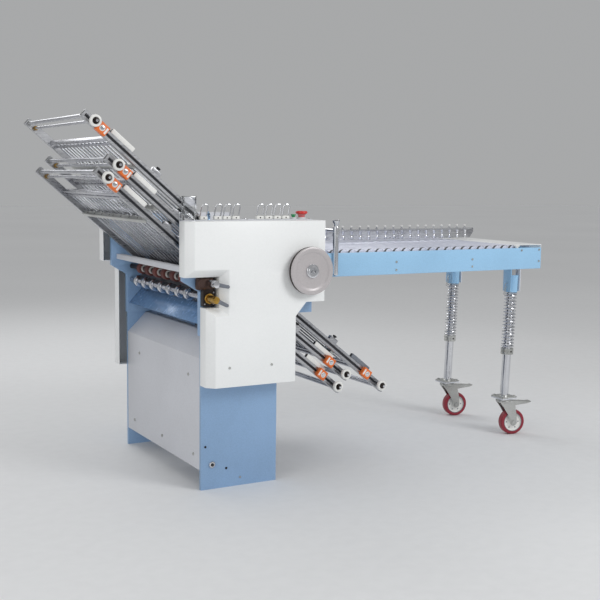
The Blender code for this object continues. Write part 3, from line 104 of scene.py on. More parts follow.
def choose(piece, test, mode="FACE"):
    """In edit mode, select the faces or edges whose middle and normal pass a test."""
    bpy.ops.mesh.select_all(action="DESELECT")
    bpy.ops.mesh.select_mode(type=mode)
    shape = bmesh.from_edit_mesh(piece.data)
    if mode == "FACE":
        for face in shape.faces:
            face.select_set(test(face.calc_center_median(), face.normal))
    else:
        for edge in shape.edges:
            start, end = (vert.co for vert in edge.verts)
            edge.select_set(test((start + end) / 2, (end - start).normalized()))
    bmesh.update_edit_mesh(piece.data)


def freeze(piece):
    """Apply the object's place, turn and size to its mesh."""
    only(piece)
    bpy.ops.object.transform_apply(location=True, rotation=True, scale=True)
    return piece


def rounded(piece, width, segments=2, angle=30):
    """Round the piece's sharp edges."""
    only(piece)
    made = piece.modifiers.new("Rounded", "BEVEL")
    made.width = width
    made.segments = segments
    made.limit_method = "ANGLE"
    made.angle_limit = math.radians(angle)
    bpy.ops.object.modifier_apply(modifier=made.name)
    return piece


def box(low, high, round_by=0.0008, segments=2):
    """A block between two corners with rounded edges."""
    low, high = Vector(low), Vector(high)
    bpy.ops.mesh.primitive_cube_add(size=1, location=(low + high) / 2)
    made = bpy.context.object
    made.scale = high - low
    freeze(made)
    return rounded(made, round_by, segments) if round_by else made


def aim(axis):
    """The turn that takes +Z to an axis."""
    return Vector((0, 0, 1)).rotation_difference(Vector(axis)).to_matrix().to_4x4()


def turned(profile, start=(0, 0, 0), axis=(0, 0, 1), sides=32):
    """A round piece drawn ring by ring: rows of distance along its axis and radius."""
    along, radius = profile[0]
    bpy.ops.mesh.primitive_circle_add(vertices=sides, radius=radius, fill_type="NGON",
                                      location=(0, 0, along))
    made = freeze(bpy.context.object)
    edit(made)
    bpy.ops.mesh.select_all(action="SELECT")
    for further, wide in profile[1:]:
        bpy.ops.mesh.extrude_region_move(
            TRANSFORM_OT_translate={"value": (0, 0, further - along)})
        if wide != radius:
            grow = wide / radius
            bpy.ops.transform.resize(value=(grow, grow, 1), center_override=(0, 0, further))
        along, radius = further, wide
    bpy.ops.mesh.select_all(action="SELECT")
    bpy.ops.mesh.normals_make_consistent(inside=False)
    leave()
    made.matrix_world = Matrix.Translation(start) @ aim(axis)
    return freeze(made)


def rod(radius, start, end, sides=16, chamfer=0.0):
    """A round bar between two points, with its ends eased."""
    start, end = Vector(start), Vector(end)
    length = (end - start).length
    ease = chamfer or radius * 0.12
    rows = [(0, radius - ease), (ease, radius), (length - ease, radius),
            (length, radius - ease)]
    return turned(rows, start, end - start, sides)


def sheet(points, thickness, matrix=None, round_by=0.0004):
    """A flat plate: an outline filled, pulled up by its thickness, then placed."""
    bpy.ops.mesh.primitive_circle_add(vertices=len(points), radius=1, fill_type="NGON")
    made = bpy.context.object
    for vert, (x, y) in zip(made.data.vertices, points):
        vert.co = (x, y, 0)
    edit(made)
    bpy.ops.mesh.select_all(action="SELECT")
    bpy.ops.mesh.extrude_region_move(TRANSFORM_OT_translate={"value": (0, 0, thickness)})
    bpy.ops.mesh.select_all(action="SELECT")
    bpy.ops.mesh.normals_make_consistent(inside=False)
    leave()
    if round_by:
        rounded(made, round_by, 1)
    if matrix:
        made.matrix_world = matrix
        freeze(made)
    return made


def upright(points, low, high, round_by=0.0004):
    """A plate whose outline lies in X and Z, between two places across the machine."""
    turn = Matrix(((1, 0, 0, 0), (0, 0, -1, high), (0, 1, 0, 0), (0, 0, 0, 1)))
    return sheet(points, high - low, turn, round_by)


def wire(points, radius, closed=False, sides=2):
    """A round wire through points."""
    bpy.ops.curve.primitive_bezier_curve_add()
    made = bpy.context.object
    made.data.splines.clear()
    line = made.data.splines.new("POLY")
    line.points.add(len(points) - 1)
    for point, place in zip(line.points, points):
        point.co = (*place, 1)
    line.use_cyclic_u = closed
    line.use_smooth = True
    made.data.dimensions = "3D"
    made.data.bevel_depth = radius
    made.data.bevel_resolution = sides
    made.data.use_fill_caps = not closed
    only(made)
    bpy.ops.object.convert(target="MESH")
    return freeze(bpy.context.object)


def torus(middle, axis, wide, thick, sides=32):
    """A plain ring."""
    bpy.ops.mesh.primitive_torus_add(major_radius=wide, minor_radius=thick,
                                     major_segments=sides, minor_segments=10)
    made = bpy.context.object
    made.matrix_world = Matrix.Translation(middle) @ aim(axis)
    return freeze(made)


def copy_of(piece, move=(0, 0, 0), turn=None):
    """A copy with a mesh of its own."""
    made = piece.copy()
    made.data = piece.data.copy()
    bpy.context.scene.collection.objects.link(made)
    if turn:
        made.data.transform(turn)
    made.data.transform(Matrix.Translation(move))
    return made


def painted(piece, finish):
    """Give a piece one finish."""
    piece.data.materials.clear()
    piece.data.materials.append(finish)
    return piece


def joined(pieces):
    """Join pieces that are fixed to each other into one object."""
    only(*pieces)
    bpy.ops.object.join()
    return bpy.context.object


def screw(place, axis, radius, finish, rise=0.0015):
    """A screw head with a socket, standing on a surface."""
    key = radius * 0.5
    rows = [(-0.001, radius), (rise * 0.6, radius), (rise, radius * 0.86), (rise, key),
            (rise * 0.3, key * 0.95)]
    return painted(turned(rows, place, axis, 12), finish)


def settle(piece, name, body, node, *replaced):
    """Move a finished piece into the row frame and hang it on its body, if it has one."""
    piece.name = name
    piece.data.name = name
    piece.data.transform(Matrix.Translation(ORIGIN))
    only(piece)
    bpy.ops.object.shade_smooth_by_angle(angle=SMOOTH)
    if replaced:
        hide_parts(*replaced)
    if body:
        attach(piece, body)
    return piece


def refinish(finish, *nodes):
    """Give carried CAD nodes a better finish."""
    for node in nodes:
        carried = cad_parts[node]
        carried.data.materials.clear()
        carried.data.materials.append(finish)


def eased(node, finish, width, body):
    """The CAD node's own shape with its edges eased, in place of the node."""
    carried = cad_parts[node]
    made = bpy.data.objects.new(node + "_dressed", carried.data.copy())
    bpy.context.scene.collection.objects.link(made)
    made.matrix_world = carried.matrix_world.copy()
    freeze(made)
    edit(made, "VERT")
    bpy.ops.mesh.select_all(action="SELECT")
    bpy.ops.mesh.remove_doubles(threshold=0.00002)
    bpy.ops.mesh.dissolve_limited(angle_limit=math.radians(1))
    leave()
    rounded(made, width, 2, 40)
    painted(made, finish)
    made.data.transform(Matrix.Translation(-ORIGIN))
    return settle(made, node + "_dressed", body, node, node)


# Finishes

def linear(code):
    """A hex colour as linear RGBA."""
    parts = [int(code[i:i + 2], 16) / 255 for i in (0, 2, 4)]
    return tuple(((c + 0.055) / 1.055) ** 2.4 if c > 0.04 else c / 12.92
                 for c in parts) + (1,)


def finish(name, light, dark, rough, metal=0.0, grain=40.0, stretch=(1, 1, 1),
           bump=0.05, coat=0.0, specks=0.0, wear=None):
    """A procedural finish: broad shade, fine grain, specks, and a grain-driven gloss."""
    made = bpy.data.materials.new(name)
    made.use_nodes = True
    tree = made.node_tree
    link = tree.links.new
    shader = tree.nodes["Principled BSDF"]
    shader.inputs["Metallic"].default_value = metal
    shader.inputs["Coat Weight"].default_value = coat
    shader.inputs["Coat Roughness"].default_value = 0.15
    place = tree.nodes.new("ShaderNodeTexCoord")
    laid = tree.nodes.new("ShaderNodeMapping")
    laid.inputs["Scale"].default_value = stretch
    link(place.outputs["Object"], laid.inputs["Vector"])
    broad = tree.nodes.new("ShaderNodeTexNoise")
    broad.inputs["Scale"].default_value = grain * 0.15
    broad.inputs["Detail"].default_value = 3
    fine = tree.nodes.new("ShaderNodeTexNoise")
    fine.inputs["Scale"].default_value = grain * 8
    fine.inputs["Detail"].default_value = 4
    link(place.outputs["Object"], broad.inputs["Vector"])
    link(laid.outputs["Vector"], fine.inputs["Vector"])
    blend = tree.nodes.new("ShaderNodeMix")
    blend.data_type = "FLOAT"
    blend.inputs[0].default_value = 0.45
    link(broad.outputs["Fac"], blend.inputs[2])
    link(fine.outputs["Fac"], blend.inputs[3])
    shade = tree.nodes.new("ShaderNodeValToRGB")
    shade.color_ramp.elements[0].position = 0.34
    shade.color_ramp.elements[0].color = dark
    shade.color_ramp.elements[1].position = 0.62
    shade.color_ramp.elements[1].color = light
    link(blend.outputs[0], shade.inputs["Fac"])
    colour = shade.outputs["Color"]
    if specks:
        dots = tree.nodes.new("ShaderNodeTexVoronoi")
        dots.inputs["Scale"].default_value = grain * 3
        link(place.outputs["Object"], dots.inputs["Vector"])
        near = tree.nodes.new("ShaderNodeMapRange")
        near.inputs["From Min"].default_value = 0.05
        near.inputs["From Max"].default_value = 0.11
        near.inputs["To Min"].default_value = specks
        near.inputs["To Max"].default_value = 0
        link(dots.outputs["Distance"], near.inputs["Value"])
        over = tree.nodes.new("ShaderNodeMix")
        over.data_type = "RGBA"
        over.inputs[7].default_value = wear or dark
        link(near.outputs["Result"], over.inputs[0])
        link(colour, over.inputs[6])
        colour = over.outputs[2]
    link(colour, shader.inputs["Base Color"])
    gloss = tree.nodes.new("ShaderNodeMapRange")
    gloss.inputs["From Min"].default_value = 0.3
    gloss.inputs["From Max"].default_value = 0.7
    gloss.inputs["To Min"].default_value = max(rough - 0.07, 0.03)
    gloss.inputs["To Max"].default_value = min(rough + 0.08, 1)
    link(blend.outputs[0], gloss.inputs["Value"])
    link(gloss.outputs["Result"], shader.inputs["Roughness"])
    relief = tree.nodes.new("ShaderNodeBump")
    relief.inputs["Strength"].default_value = bump
    relief.inputs["Distance"].default_value = 0.0004
    link(fine.outputs["Fac"], relief.inputs["Height"])
    link(relief.outputs["Normal"], shader.inputs["Normal"])
    return made


def clear(name, tint, rough, weight=1.0):
    """A see-through plastic with fine scratches in its gloss."""
    made = finish(name, tint, tint, rough, grain=30, stretch=(1, 8, 1), bump=0.02)
    shader = made.node_tree.nodes["Principled BSDF"]
    shader.inputs["Transmission Weight"].default_value = weight
    shader.inputs["IOR"].default_value = 1.46
    return made


def shade(colour, share):
    """The same colour, darker."""
    return tuple(part * share for part in colour[:3]) + (1,)


FINISHES = {}


def stock():
    """The machine's finishes, made once from the panel's colours."""
    if FINISHES:
        return FINISHES
    tones = bpy.context.scene.folder_colours
    plates, cover = tuple(tones.plates), tuple(tones.cover)
    made = {
        "blue": finish("blue_enamel", plates, shade(plates, 0.84), 0.40, grain=30,
                       bump=0.12, coat=0.2, specks=0.25),
        "rail": finish("rail_enamel", tuple(tones.rails), shade(tones.rails, 0.88), 0.36,
                       grain=30, bump=0.10, coat=0.25, specks=0.2),
        "white": finish("white_enamel", cover, shade(cover, 0.955), 0.36, grain=22,
                        bump=0.06, coat=0.3),
        "panel": finish("panel_enamel", tuple(tones.panel), shade(tones.panel, 0.90), 0.46,
                        grain=26, bump=0.10, specks=0.2),
        "deflector": finish("deflector_enamel", tuple(tones.deflector),
                            shade(tones.deflector, 0.72), 0.26, 0.2, grain=9,
                            bump=0.03, coat=0.4),
        "chrome": finish("bright_chrome", linear("E4E5E8"), linear("C6C7CC"), 0.12, 1.0,
                         grain=60, bump=0.01),
        "steel": finish("brushed_steel", linear("C9CACD"), linear("9A9BA0"), 0.30, 1.0,
                        grain=40, stretch=(0.15, 1, 1), bump=0.05),
        "across": finish("ground_steel", linear("D6D7DC"), linear("A9AAB2"), 0.28, 1.0,
                         grain=40, stretch=(1, 0.1, 1), bump=0.05),
        "rod": finish("grid_rod_steel", linear("A9ABB0"), linear("6C6E74"), 0.26, 1.0,
                      grain=60, bump=0.04),
        "zinc": finish("white_zinc", linear("D2D3D0"), linear("A8A9A6"), 0.36, 1.0,
                       grain=55, bump=0.08, specks=0.3),
        "table": finish("roller_skin", linear("E2E5F2"), linear("C3C8DA"), 0.34, 0.35,
                        grain=30, stretch=(1, 0.12, 1), bump=0.05),
        "dark": finish("blackened_steel", linear("3A3230"), linear("1C1817"), 0.42, 0.7,
                       grain=50, bump=0.10),
        "black": finish("black_plastic", linear("26272A"), linear("141416"), 0.45,
                        grain=60, bump=0.10),
        # Dark grey for the floor of each rail slot: painted shade standing in for the shadow
        # inside the slot, not a colour of the steel
        "socket": finish("painted_slot_shade", linear("3C3D42"), linear("202124"), 0.5, 0.5,
                         grain=60, bump=0.05),
        "roller": finish("fold_roller_skin", linear("6E6F76"), linear("2C2D31"), 0.48, 0.4,
                         grain=70, stretch=(3, 0.5, 3), bump=0.35),
        "rubber": finish("red_brown_rubber", linear("74403A"), linear("421F1D"), 0.62,
                         grain=60, bump=0.20),
        "ring": finish("pale_collar", linear("DCDAD6"), linear("B2B0AE"), 0.30, 0.6,
                       grain=50, bump=0.04),
        "bronze": finish("oiled_bronze", linear("5A4640"), linear("33231F"), 0.40, 0.6,
                         grain=50, bump=0.15),
        "brass": finish("worn_brass", linear("D9B25E"), linear("9A7330"), 0.28, 1.0,
                        grain=50, bump=0.08),
        "orange": finish("orange_plastic", tuple(tones.counter), shade(tones.counter, 0.8),
                         0.38, grain=40, bump=0.06, coat=0.2),
        "ivory": finish("white_plastic", linear("F1F1EE"), linear("DDDDDA"), 0.36,
                        grain=40, bump=0.05, coat=0.1),
        "grey": finish("grey_plastic", linear("858A92"), linear("646973"), 0.45,
                       grain=40, bump=0.08),
        "lever": finish("lever_grey", linear("8E9196"), linear("5F6267"), 0.42, 0.35,
                        grain=45, bump=0.10),
        "wheel": finish("handwheel_enamel", tuple(tones.wheel), shade(tones.wheel, 0.86),
                        0.34, 0.15, grain=26, bump=0.08, coat=0.25, specks=0.2),
        "tyre": finish("red_polyurethane", tuple(tones.tyre), shade(tones.tyre, 0.62),
                       0.42, grain=30, bump=0.10, coat=0.1, specks=0.5,
                       wear=linear("8C8A88")),
        "stop": finish("stop_red", tuple(tones.stop), shade(tones.stop, 0.8), 0.32,
                       grain=40, bump=0.04, coat=0.3),
        "neck": finish("faded_red", linear("D98080"), linear("B85A5C"), 0.40, grain=40,
                       bump=0.04),
        "start": finish("start_green", tuple(tones.start), shade(tones.start, 0.7), 0.32,
                        grain=40, bump=0.04, coat=0.3),
        "motor": finish("motor_enamel", linear("6F7782"), linear("4C535D"), 0.5, 0.2,
                        grain=45, bump=0.30, specks=0.3),
        "clear": clear("clear_acrylic", (0.985, 0.995, 1.0, 1), 0.04),
        "tinted": clear("blue_acrylic", (0.50, 0.72, 0.95, 1), 0.14),
    }
    FINISHES.update(made)
    return FINISHES


def tint(name, label, code):
    """A colour that the user can change in the panel."""
    return bpy.props.FloatVectorProperty(name=label, description=name, subtype="COLOR",
                                         size=4, min=0, max=1, default=linear(code))


def length(label, description, value):
    """A length that the user can change in the panel."""
    return bpy.props.FloatProperty(name=label, description=description, default=value,
                                   min=0, unit="LENGTH")


class FolderColours(bpy.types.PropertyGroup):
    """Colours of the machine's painted and moulded pieces."""

    plates: tint("Enamel of the side plates", "Plates", "92B3D8")
    rails: tint("Enamel of the table rails", "Rails", "9FCDF0")
    cover: tint("Enamel of the covers", "Covers", "F8FAFA")
    panel: tint("Enamel of the front panel", "Panel", "D8DAE0")
    deflector: tint("Enamel of the deflector under the slitters", "Deflector", "7EA8DA")
    wheel: tint("Enamel of the handwheel", "Handwheel", "C4BFC0")
    counter: tint("Housings of the stop counters", "Counters", "F07830")
    tyre: tint("Tread of the casters", "Tyres", "9C2638")
    stop: tint("Cap of the stop button", "Stop button", "D8302C")
    start: tint("Cap of the start button", "Start button", "2E9E62")


class FolderSizes(bpy.types.PropertyGroup):
    """Sizes that only the dressing uses."""

    loop_wire: length("Loop wire", "Radius of the lift loops' wire", 0.0020)
    grid_rod: length("Grid rod", "Radius of one rod of a buckle plate's grid", 0.0027)
    rail_slot: length("Rail slot", "Depth of the slot along a buckle plate's rail", 0.004)
    spring_wire: length("Spring wire", "Radius of the leg springs' wire", 0.0029)
    edge: length("Sheet edge", "How far the edges of sheet pieces are eased", 0.0008)
    grid_gaps: bpy.props.IntProperty(name="Grid gaps", default=16, min=4, max=40,
                                     description="Gaps between the rods of a grid")
    spring_turns: bpy.props.IntProperty(name="Spring turns", default=16, min=4, max=40,
                                        description="Curls in each leg spring")


class FOLDER_OT_side_plates(bpy.types.Operator):
    """The two side plates with their studs and screws"""

    bl_idname = "folder.side_plates"
    bl_label = "Side plates"

    def execute(self, context):
        kit = stock()
        for node in ("near_side_plate", "far_side_plate"):
            eased(node, kit["blue"], 0.0010, "machine")
        for name, y, out in (("near", 0, -1), ("far", WIDTH, 1)):
            face = Vector((0, out, 0))
            stud = turned([(-0.001, 0.0105), (0.0015, 0.0110), (0.0045, 0.0105),
                           (0.0060, 0.0085), (0.0060, 0.0060), (0.0035, 0.0056)],
                          (0.038, y, 0.081), face)
            heart = turned([(0.001, 0.0052), (0.0038, 0.0052), (0.0048, 0.0040)],
                           (0.038, y, 0.081), face, 20)
            parts = [painted(stud, kit["chrome"]), painted(heart, kit["black"])]
            for x, z, kind in ((0.015, 0.141, "dark"), (0.089, 0.063, "dark"),
                               (0.139, 0.027, "zinc")):
                parts.append(screw((x, y, z), face, 0.0038, kit[kind], 0.0022))
            settle(joined(parts), f"{name}_stand_screws", "machine", f"{name}_side_plate")
        return {"FINISHED"}


class FOLDER_OT_covers(bpy.types.Operator):
    """The folded covers over both side plates"""

    bl_idname = "folder.covers"
    bl_label = "Covers"

    def execute(self, context):
        kit = stock()
        for node in ("near_cover", "far_cover"):
            eased(node, kit["white"], context.scene.folder_sizes.edge, "machine")
        heads = [screw((x, -0.0661, 0.404), (0, -1, 0), 0.0044, kit["zinc"], 0.0020)
                 for x in (0.068, 0.217)]
        settle(joined(heads), "near_cover_screws", "machine", "near_cover")
        bush = turned([(-0.004, 0.0140), (0.0, 0.0190), (0.0025, 0.0180),
                       (0.0028, 0.0125), (-0.004, 0.0115)], (0.347, -0.0661, 0.7025),
                      (0, -1, 0))
        settle(painted(bush, kit["black"]), "handwheel_bush", "machine", "near_cover")
        return {"FINISHED"}


class FOLDER_OT_deck(bpy.types.Operator):
    """The deck strips, the clear guard at the exit end and the oil bottle"""

    bl_idname = "folder.deck"
    bl_label = "Deck"

    def execute(self, context):
        kit = stock()
        eased("top_deck", kit["panel"], 0.0006, "machine")
        screws = [screw((x, 0.0115, DECK), (0, 0, 1), 0.0030, kit["zinc"], 0.0014)
                  for x in (-0.020, 0.165, 0.190, 0.322, 0.392)]
        screws += [screw((x, WIDTH - 0.0115, DECK), (0, 0, 1), 0.0030, kit["zinc"], 0.0014)
                   for x in (-0.050, 0.050, 0.150, 0.250, 0.350)]
        settle(joined(screws), "deck_screws", "machine", "top_deck")
        walls = [box((-0.0590, 0.0015, DECK), (-0.0560, 0.0190, 0.938), 0.0006),
                 box((-0.0190, 0.0015, DECK), (-0.0160, 0.0190, 0.938), 0.0006),
                 box((-0.0590, 0.0015, 0.936), (-0.0160, 0.0190, 0.939), 0.0006),
                 box((-0.0585, 0.0005, DECK), (-0.0165, 0.0030, 0.9385), 0.0006)]
        settle(painted(joined(walls), kit["clear"]), "exit_guard", "machine", "top_deck")
        bottle = turned([(0, 0.0050), (0.0010, 0.0058), (0.0190, 0.0058),
                         (0.0205, 0.0050), (0.0215, 0.0028), (0.0260, 0.0024),
                         (0.0265, 0.0016)], (0.0285, 0.0100, DECK), sides=24)
        settle(painted(bottle, kit["tinted"]), "oil_cup", "machine", "top_deck")
        return {"FINISHED"}


class FOLDER_OT_lift_loops(bpy.types.Operator):
    """Eight bright wire loops on moulded blocks, one for each fold roller"""

    bl_idname = "folder.lift_loops"
    bl_label = "Lift loops"

    def execute(self, context):
        kit = stock()
        thick = context.scene.folder_sizes.loop_wire
        places = (0.0106, 0.0590, 0.0905, 0.1220, 0.2080, 0.2400, 0.2710, 0.3015)
        half, high, lean = 0.0108, 0.0368, 0.008
        crown = high - half
        arch = [(half * math.cos(math.pi * i / 16), crown + half * math.sin(math.pi * i / 16))
                for i in range(17)]
        legs = [(half, -0.003), (half, crown * 0.5)] + arch + [(-half, crown * 0.5),
                                                            (-half, -0.003)]
        line = [(x + lean * max(z, 0) / high, 0, z + 0.011) for x, z in legs]
        bail = painted(wire(line, thick, sides=3), kit["chrome"])
        block = painted(box((-0.0128, -0.007, 0), (0.0128, 0.007, 0.011), 0.0024, 4),
                        kit["ivory"])
        feet = [painted(turned([(0, 0.0026), (0.0008, 0.0031), (0.0016, 0.0026)],
                               (x, 0, 0.0108), sides=16), kit["zinc"])
                for x in (-half, half)]
        pin = screw((0, -0.0069, 0.0055), (0, -1, 0), 0.0022, kit["dark"], 0.0010)
        whole = joined([block, bail, pin] + feet)
        for number, x in enumerate(places, 1):
            name = f"lift_loop_{number}"
            settle(copy_of(whole, (x, 0.010, DECK + 0.0003)), name + "_dressed", name,
                   name, name)
        bpy.data.objects.remove(whole)
        return {"FINISHED"}


class FOLDER_OT_buttons(bpy.types.Operator):
    """The mushroom stop button and the start button beside it"""

    bl_idname = "folder.buttons"
    bl_label = "Buttons"

    def execute(self, context):
        kit = stock()
        y = 0.0335
        cap = turned([(0.0155, 0.0128), (0.0162, 0.0175), (0.0175, 0.0192),
                      (0.0200, 0.0197), (0.0228, 0.0195), (0.0246, 0.0184),
                      (0.0255, 0.0160), (0.0258, 0.0080)], (0.376, y, DECK), sides=48)
        neck = turned([(-0.0040, 0.0105), (0.0050, 0.0106), (0.0110, 0.0116),
                       (0.0156, 0.0150)], (0.376, y, DECK))
        settle(joined([painted(cap, kit["stop"]), painted(neck, kit["neck"])]),
               "stop_button_dressed", "stop_button", "stop_button", "stop_button")
        cap = turned([(-0.0040, 0.0056), (0.0098, 0.0056), (0.0100, 0.0070),
                      (0.0104, 0.0078), (0.0138, 0.0079), (0.0149, 0.0072),
                      (0.0150, 0.0030)], (0.345, y, DECK))
        settle(painted(cap, kit["start"]), "start_button_dressed", "start_button",
               "start_button", "start_button")
        rims = [painted(torus((x, y, DECK + 0.0040), (0, 0, 1), wide, 0.0009), kit["ivory"])
                for x, wide in ((0.376, 0.0137), (0.345, 0.0087))]
        settle(joined(rims), "button_rims", "machine", "top_deck")
        return {"FINISHED"}


class FOLDER_OT_handwheel(bpy.types.Operator):
    """The handwheel with its rim, chrome hub, bolt and drive shaft"""

    bl_idname = "folder.handwheel"
    bl_label = "Handwheel"

    def execute(self, context):
        kit = stock()
        start, axis = (0.347, 0, 0.7025), (0, -1, 0)
        disc = turned([(0.0750, 0.0300), (0.0752, 0.0735), (0.0765, 0.0765),
                       (0.0785, 0.0775), (0.0798, 0.0775), (0.0798, 0.0762),
                       (0.0912, 0.0762), (0.0912, 0.0775), (0.0935, 0.0775),
                       (0.0960, 0.0766), (0.0970, 0.0745), (0.0970, 0.0640),
                       (0.0962, 0.0610), (0.0945, 0.0590), (0.0940, 0.0560),
                       (0.0940, 0.0300), (0.0946, 0.0240)], start, axis, 96)
        band = turned([(0.0800, 0.0755), (0.0800, 0.0770), (0.0910, 0.0770),
                       (0.0910, 0.0755)], start, axis, 96)
        hub = turned([(0.0935, 0.0225), (0.0980, 0.0225), (0.0992, 0.0215),
                      (0.0996, 0.0180), (0.1018, 0.0172), (0.1030, 0.0160),
                      (0.1030, 0.0095), (0.1024, 0.0092)], start, axis, 48)
        bolt = turned([(0.1020, 0.0088), (0.1085, 0.0088), (0.1098, 0.0076),
                       (0.1098, 0.0046), (0.1060, 0.0044)], start, axis, 6)
        shaft = rod(0.0100, (0.347, -0.0760, 0.7025), (0.347, 0.6745, 0.7025), 32)
        settle(joined([painted(disc, kit["wheel"]), painted(band, kit["dark"]),
                       painted(hub, kit["chrome"]), painted(bolt, kit["steel"]),
                       painted(shaft, kit["across"])]),
               "handwheel_dressed", "handwheel", "handwheel", "handwheel")
        return {"FINISHED"}


class FOLDER_OT_fold_rollers(bpy.types.Operator):
    """The stack of fold rollers, with a bearing collar at each end"""

    bl_idname = "folder.fold_rollers"
    bl_label = "Fold rollers"

    def execute(self, context):
        kit = stock()
        for number in range(1, 9):
            name = f"fold_roller_{number}"
            refinish(kit["roller"], name)
            low, high = (Vector(c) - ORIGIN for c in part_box(name))
            middle = (low + high) / 2
            ends = [turned([(0, 0.0115), (0.0004, 0.0125), (0.0010, 0.0125),
                            (0.0012, 0.0080)], (middle.x, y, middle.z), (0, out, 0), 24)
                    for y, out in ((0.0213, -1), (WIDTH - 0.0213, 1))]
            settle(painted(joined(ends), kit["brass"]), f"{name}_end_rings", name, name)
        return {"FINISHED"}


class FOLDER_OT_slitter_shafts(bpy.types.Operator):
    """The ringed upper shaft, the lower shaft with its discs, and their bearing block"""

    bl_idname = "folder.slitter_shafts"
    bl_label = "Slitter shafts"

    def execute(self, context):
        kit = stock()
        x, first, last = 0.016, 0.130, 0.586
        gap = (last - first) / 6
        upper, lower = 0.670, 0.621
        pieces = [painted(rod(0.0090, (x, -0.0295, upper), (x, 0.6745, upper), 32),
                          kit["dark"])]
        ring = painted(turned([(-0.013, 0.0170), (-0.0122, 0.0192), (-0.0100, 0.0200),
                               (-0.0015, 0.0200), (-0.0010, 0.0188), (0.0010, 0.0188),
                               (0.0015, 0.0200), (0.0100, 0.0200), (0.0122, 0.0192),
                               (0.013, 0.0170)], axis=(0, 1, 0), sides=48), kit["rubber"])
        collar = painted(turned([(-0.004, 0.0120), (-0.0034, 0.0130), (0.0034, 0.0130),
                                 (0.004, 0.0120)], axis=(0, 1, 0)), kit["ring"])
        disc = painted(turned([(-0.0140, 0.0120), (-0.0135, 0.0145), (-0.0085, 0.0150),
                               (-0.0080, 0.0190), (-0.0070, 0.0208), (-0.0055, 0.0210),
                               (0.0040, 0.0210), (0.0060, 0.0200), (0.0080, 0.0165),
                               (0.0085, 0.0150), (0.0135, 0.0145), (0.0140, 0.0120)],
                              axis=(0, 1, 0), sides=48), kit["chrome"])
        for index in range(6):
            y = first + gap * (index + 0.5)
            pieces += [copy_of(ring, (x, y, upper)),
                       copy_of(collar, (x, y - 0.0180, upper)),
                       copy_of(collar, (x, y + 0.0180, upper))]
        settle(joined(pieces), "upper_slitter_shaft_dressed", "upper_slitter_shaft",
               "upper_slitter_shaft", "upper_slitter_shaft")
        pieces = [painted(rod(0.0090, (x, -0.0295, lower), (x, 0.6745, lower), 32),
                          kit["across"])]
        for index in range(7):
            y = first + gap * index
            pieces.append(copy_of(disc, (x, y, lower)))
        settle(joined(pieces), "lower_slitter_shaft_dressed", "lower_slitter_shaft",
               "lower_slitter_shaft", "lower_slitter_shaft")
        for piece in (ring, collar, disc):
            bpy.data.objects.remove(piece)
        block = painted(box((-0.0030, -0.0240, 0.5960), (0.0360, -0.0003, 0.6880),
                            0.0020, 3), kit["dark"])
        gear = painted(box((-0.0260, -0.0270, 0.6480), (0.0340, -0.0040, 0.6885),
                           0.0090, 5), kit["bronze"])
        boss = painted(turned([(0.0240, 0.0150), (0.0290, 0.0148), (0.0300, 0.0135)],
                              (-0.0090, 0, 0.6690), (0, -1, 0), 32), kit["bronze"])
        nut = painted(turned([(0.0180, 0.0165), (0.0290, 0.0168), (0.0300, 0.0155)],
                             (x, 0, lower), (0, -1, 0), 8), kit["brass"])
        bolts = [screw((bx, -0.0240, bz), (0, -1, 0), 0.0028, kit["steel"], 0.0018)
                 for bx, bz in ((0.0010, 0.6040), (0.0310, 0.6040), (0.0310, 0.6400))]
        settle(joined([block, gear, boss, nut] + bolts), "slitter_bearing_block",
               "machine", "near_side_plate")
        eased("front_tie_bar", kit["panel"], 0.0012, "machine")
        return {"FINISHED"}


class FOLDER_OT_clamp_levers(bpy.types.Operator):
    """The two grey clamp levers in the notch of the near cover"""

    bl_idname = "folder.clamp_levers"
    bl_label = "Clamp levers"

    def execute(self, context):
        kit = stock()
        for name, z, tilt, trim in (("upper_clamp_lever", 0.670, 12, "steel"),
                                    ("lower_clamp_lever", 0.621, 26, "brass")):
            hub = turned([(0.0310, 0.0112), (0.0318, 0.0120), (0.0690, 0.0120),
                          (0.0700, 0.0112), (0.0815, 0.0108), (0.0820, 0.0080)],
                         (0.016, 0, z), (0, -1, 0), 32)
            band = painted(turned([(0.0560, 0.0112), (0.0560, 0.0120), (0.0566, 0.01205),
                                   (0.0640, 0.01205), (0.0646, 0.0120), (0.0646, 0.0112)],
                                  (0.016, 0, z), (0, -1, 0), 32), kit[trim])
            root, tip, reach = 0.0080, 0.0056, 0.040
            points = [(-root * math.sin(a), -root * math.cos(a))
                      for a in (math.pi * i / 8 for i in range(9))]
            points += [(reach * 0.35, 0.0062), (reach * 0.75, 0.0058)]
            points += [(reach + tip * math.sin(a), tip * math.cos(a))
                       for a in (math.pi * i / 8 for i in range(9))]
            points += [(reach * 0.75, -0.0058), (reach * 0.35, -0.0062)]
            arm = upright(points, -0.0818, -0.0722, 0)
            rounded(arm, 0.0016, 3, 50)
            turn = Matrix.Rotation(math.radians(tilt), 4, "Y")
            arm.data.transform(turn)
            arm.data.transform(Matrix.Translation((0.016, 0, z)))
            heart = screw((0.016, -0.0812, z), (0, -1, 0), 0.0042, kit["dark"], 0.0006)
            metal = kit["chrome" if trim == "steel" else "brass"]
            settle(joined([painted(hub, metal), band, painted(arm, kit["grey"]),
                           heart]), name + "_dressed", name, name, name)
        return {"FINISHED"}


class FOLDER_OT_exit_sheets(bpy.types.Operator):
    """The deflector and the front panel with its screws"""

    bl_idname = "folder.exit_sheets"
    bl_label = "Deflector and front panel"

    def execute(self, context):
        kit = stock()
        eased("front_panel", kit["panel"], 0.0006, "machine")
        eased("deflector_plate", kit["deflector"], 0.0006, "machine")
        heads = [screw((0.0, y, z), (-1, 0, 0), 0.0052, kit["zinc"], 0.0026)
                 for y, z in ((0.542, 0.364), (0.100, 0.362), (0.593, 0.108),
                              (0.327, 0.108), (0.059, 0.107))]
        settle(joined(heads), "front_panel_screws", "machine", "front_panel")
        return {"FINISHED"}


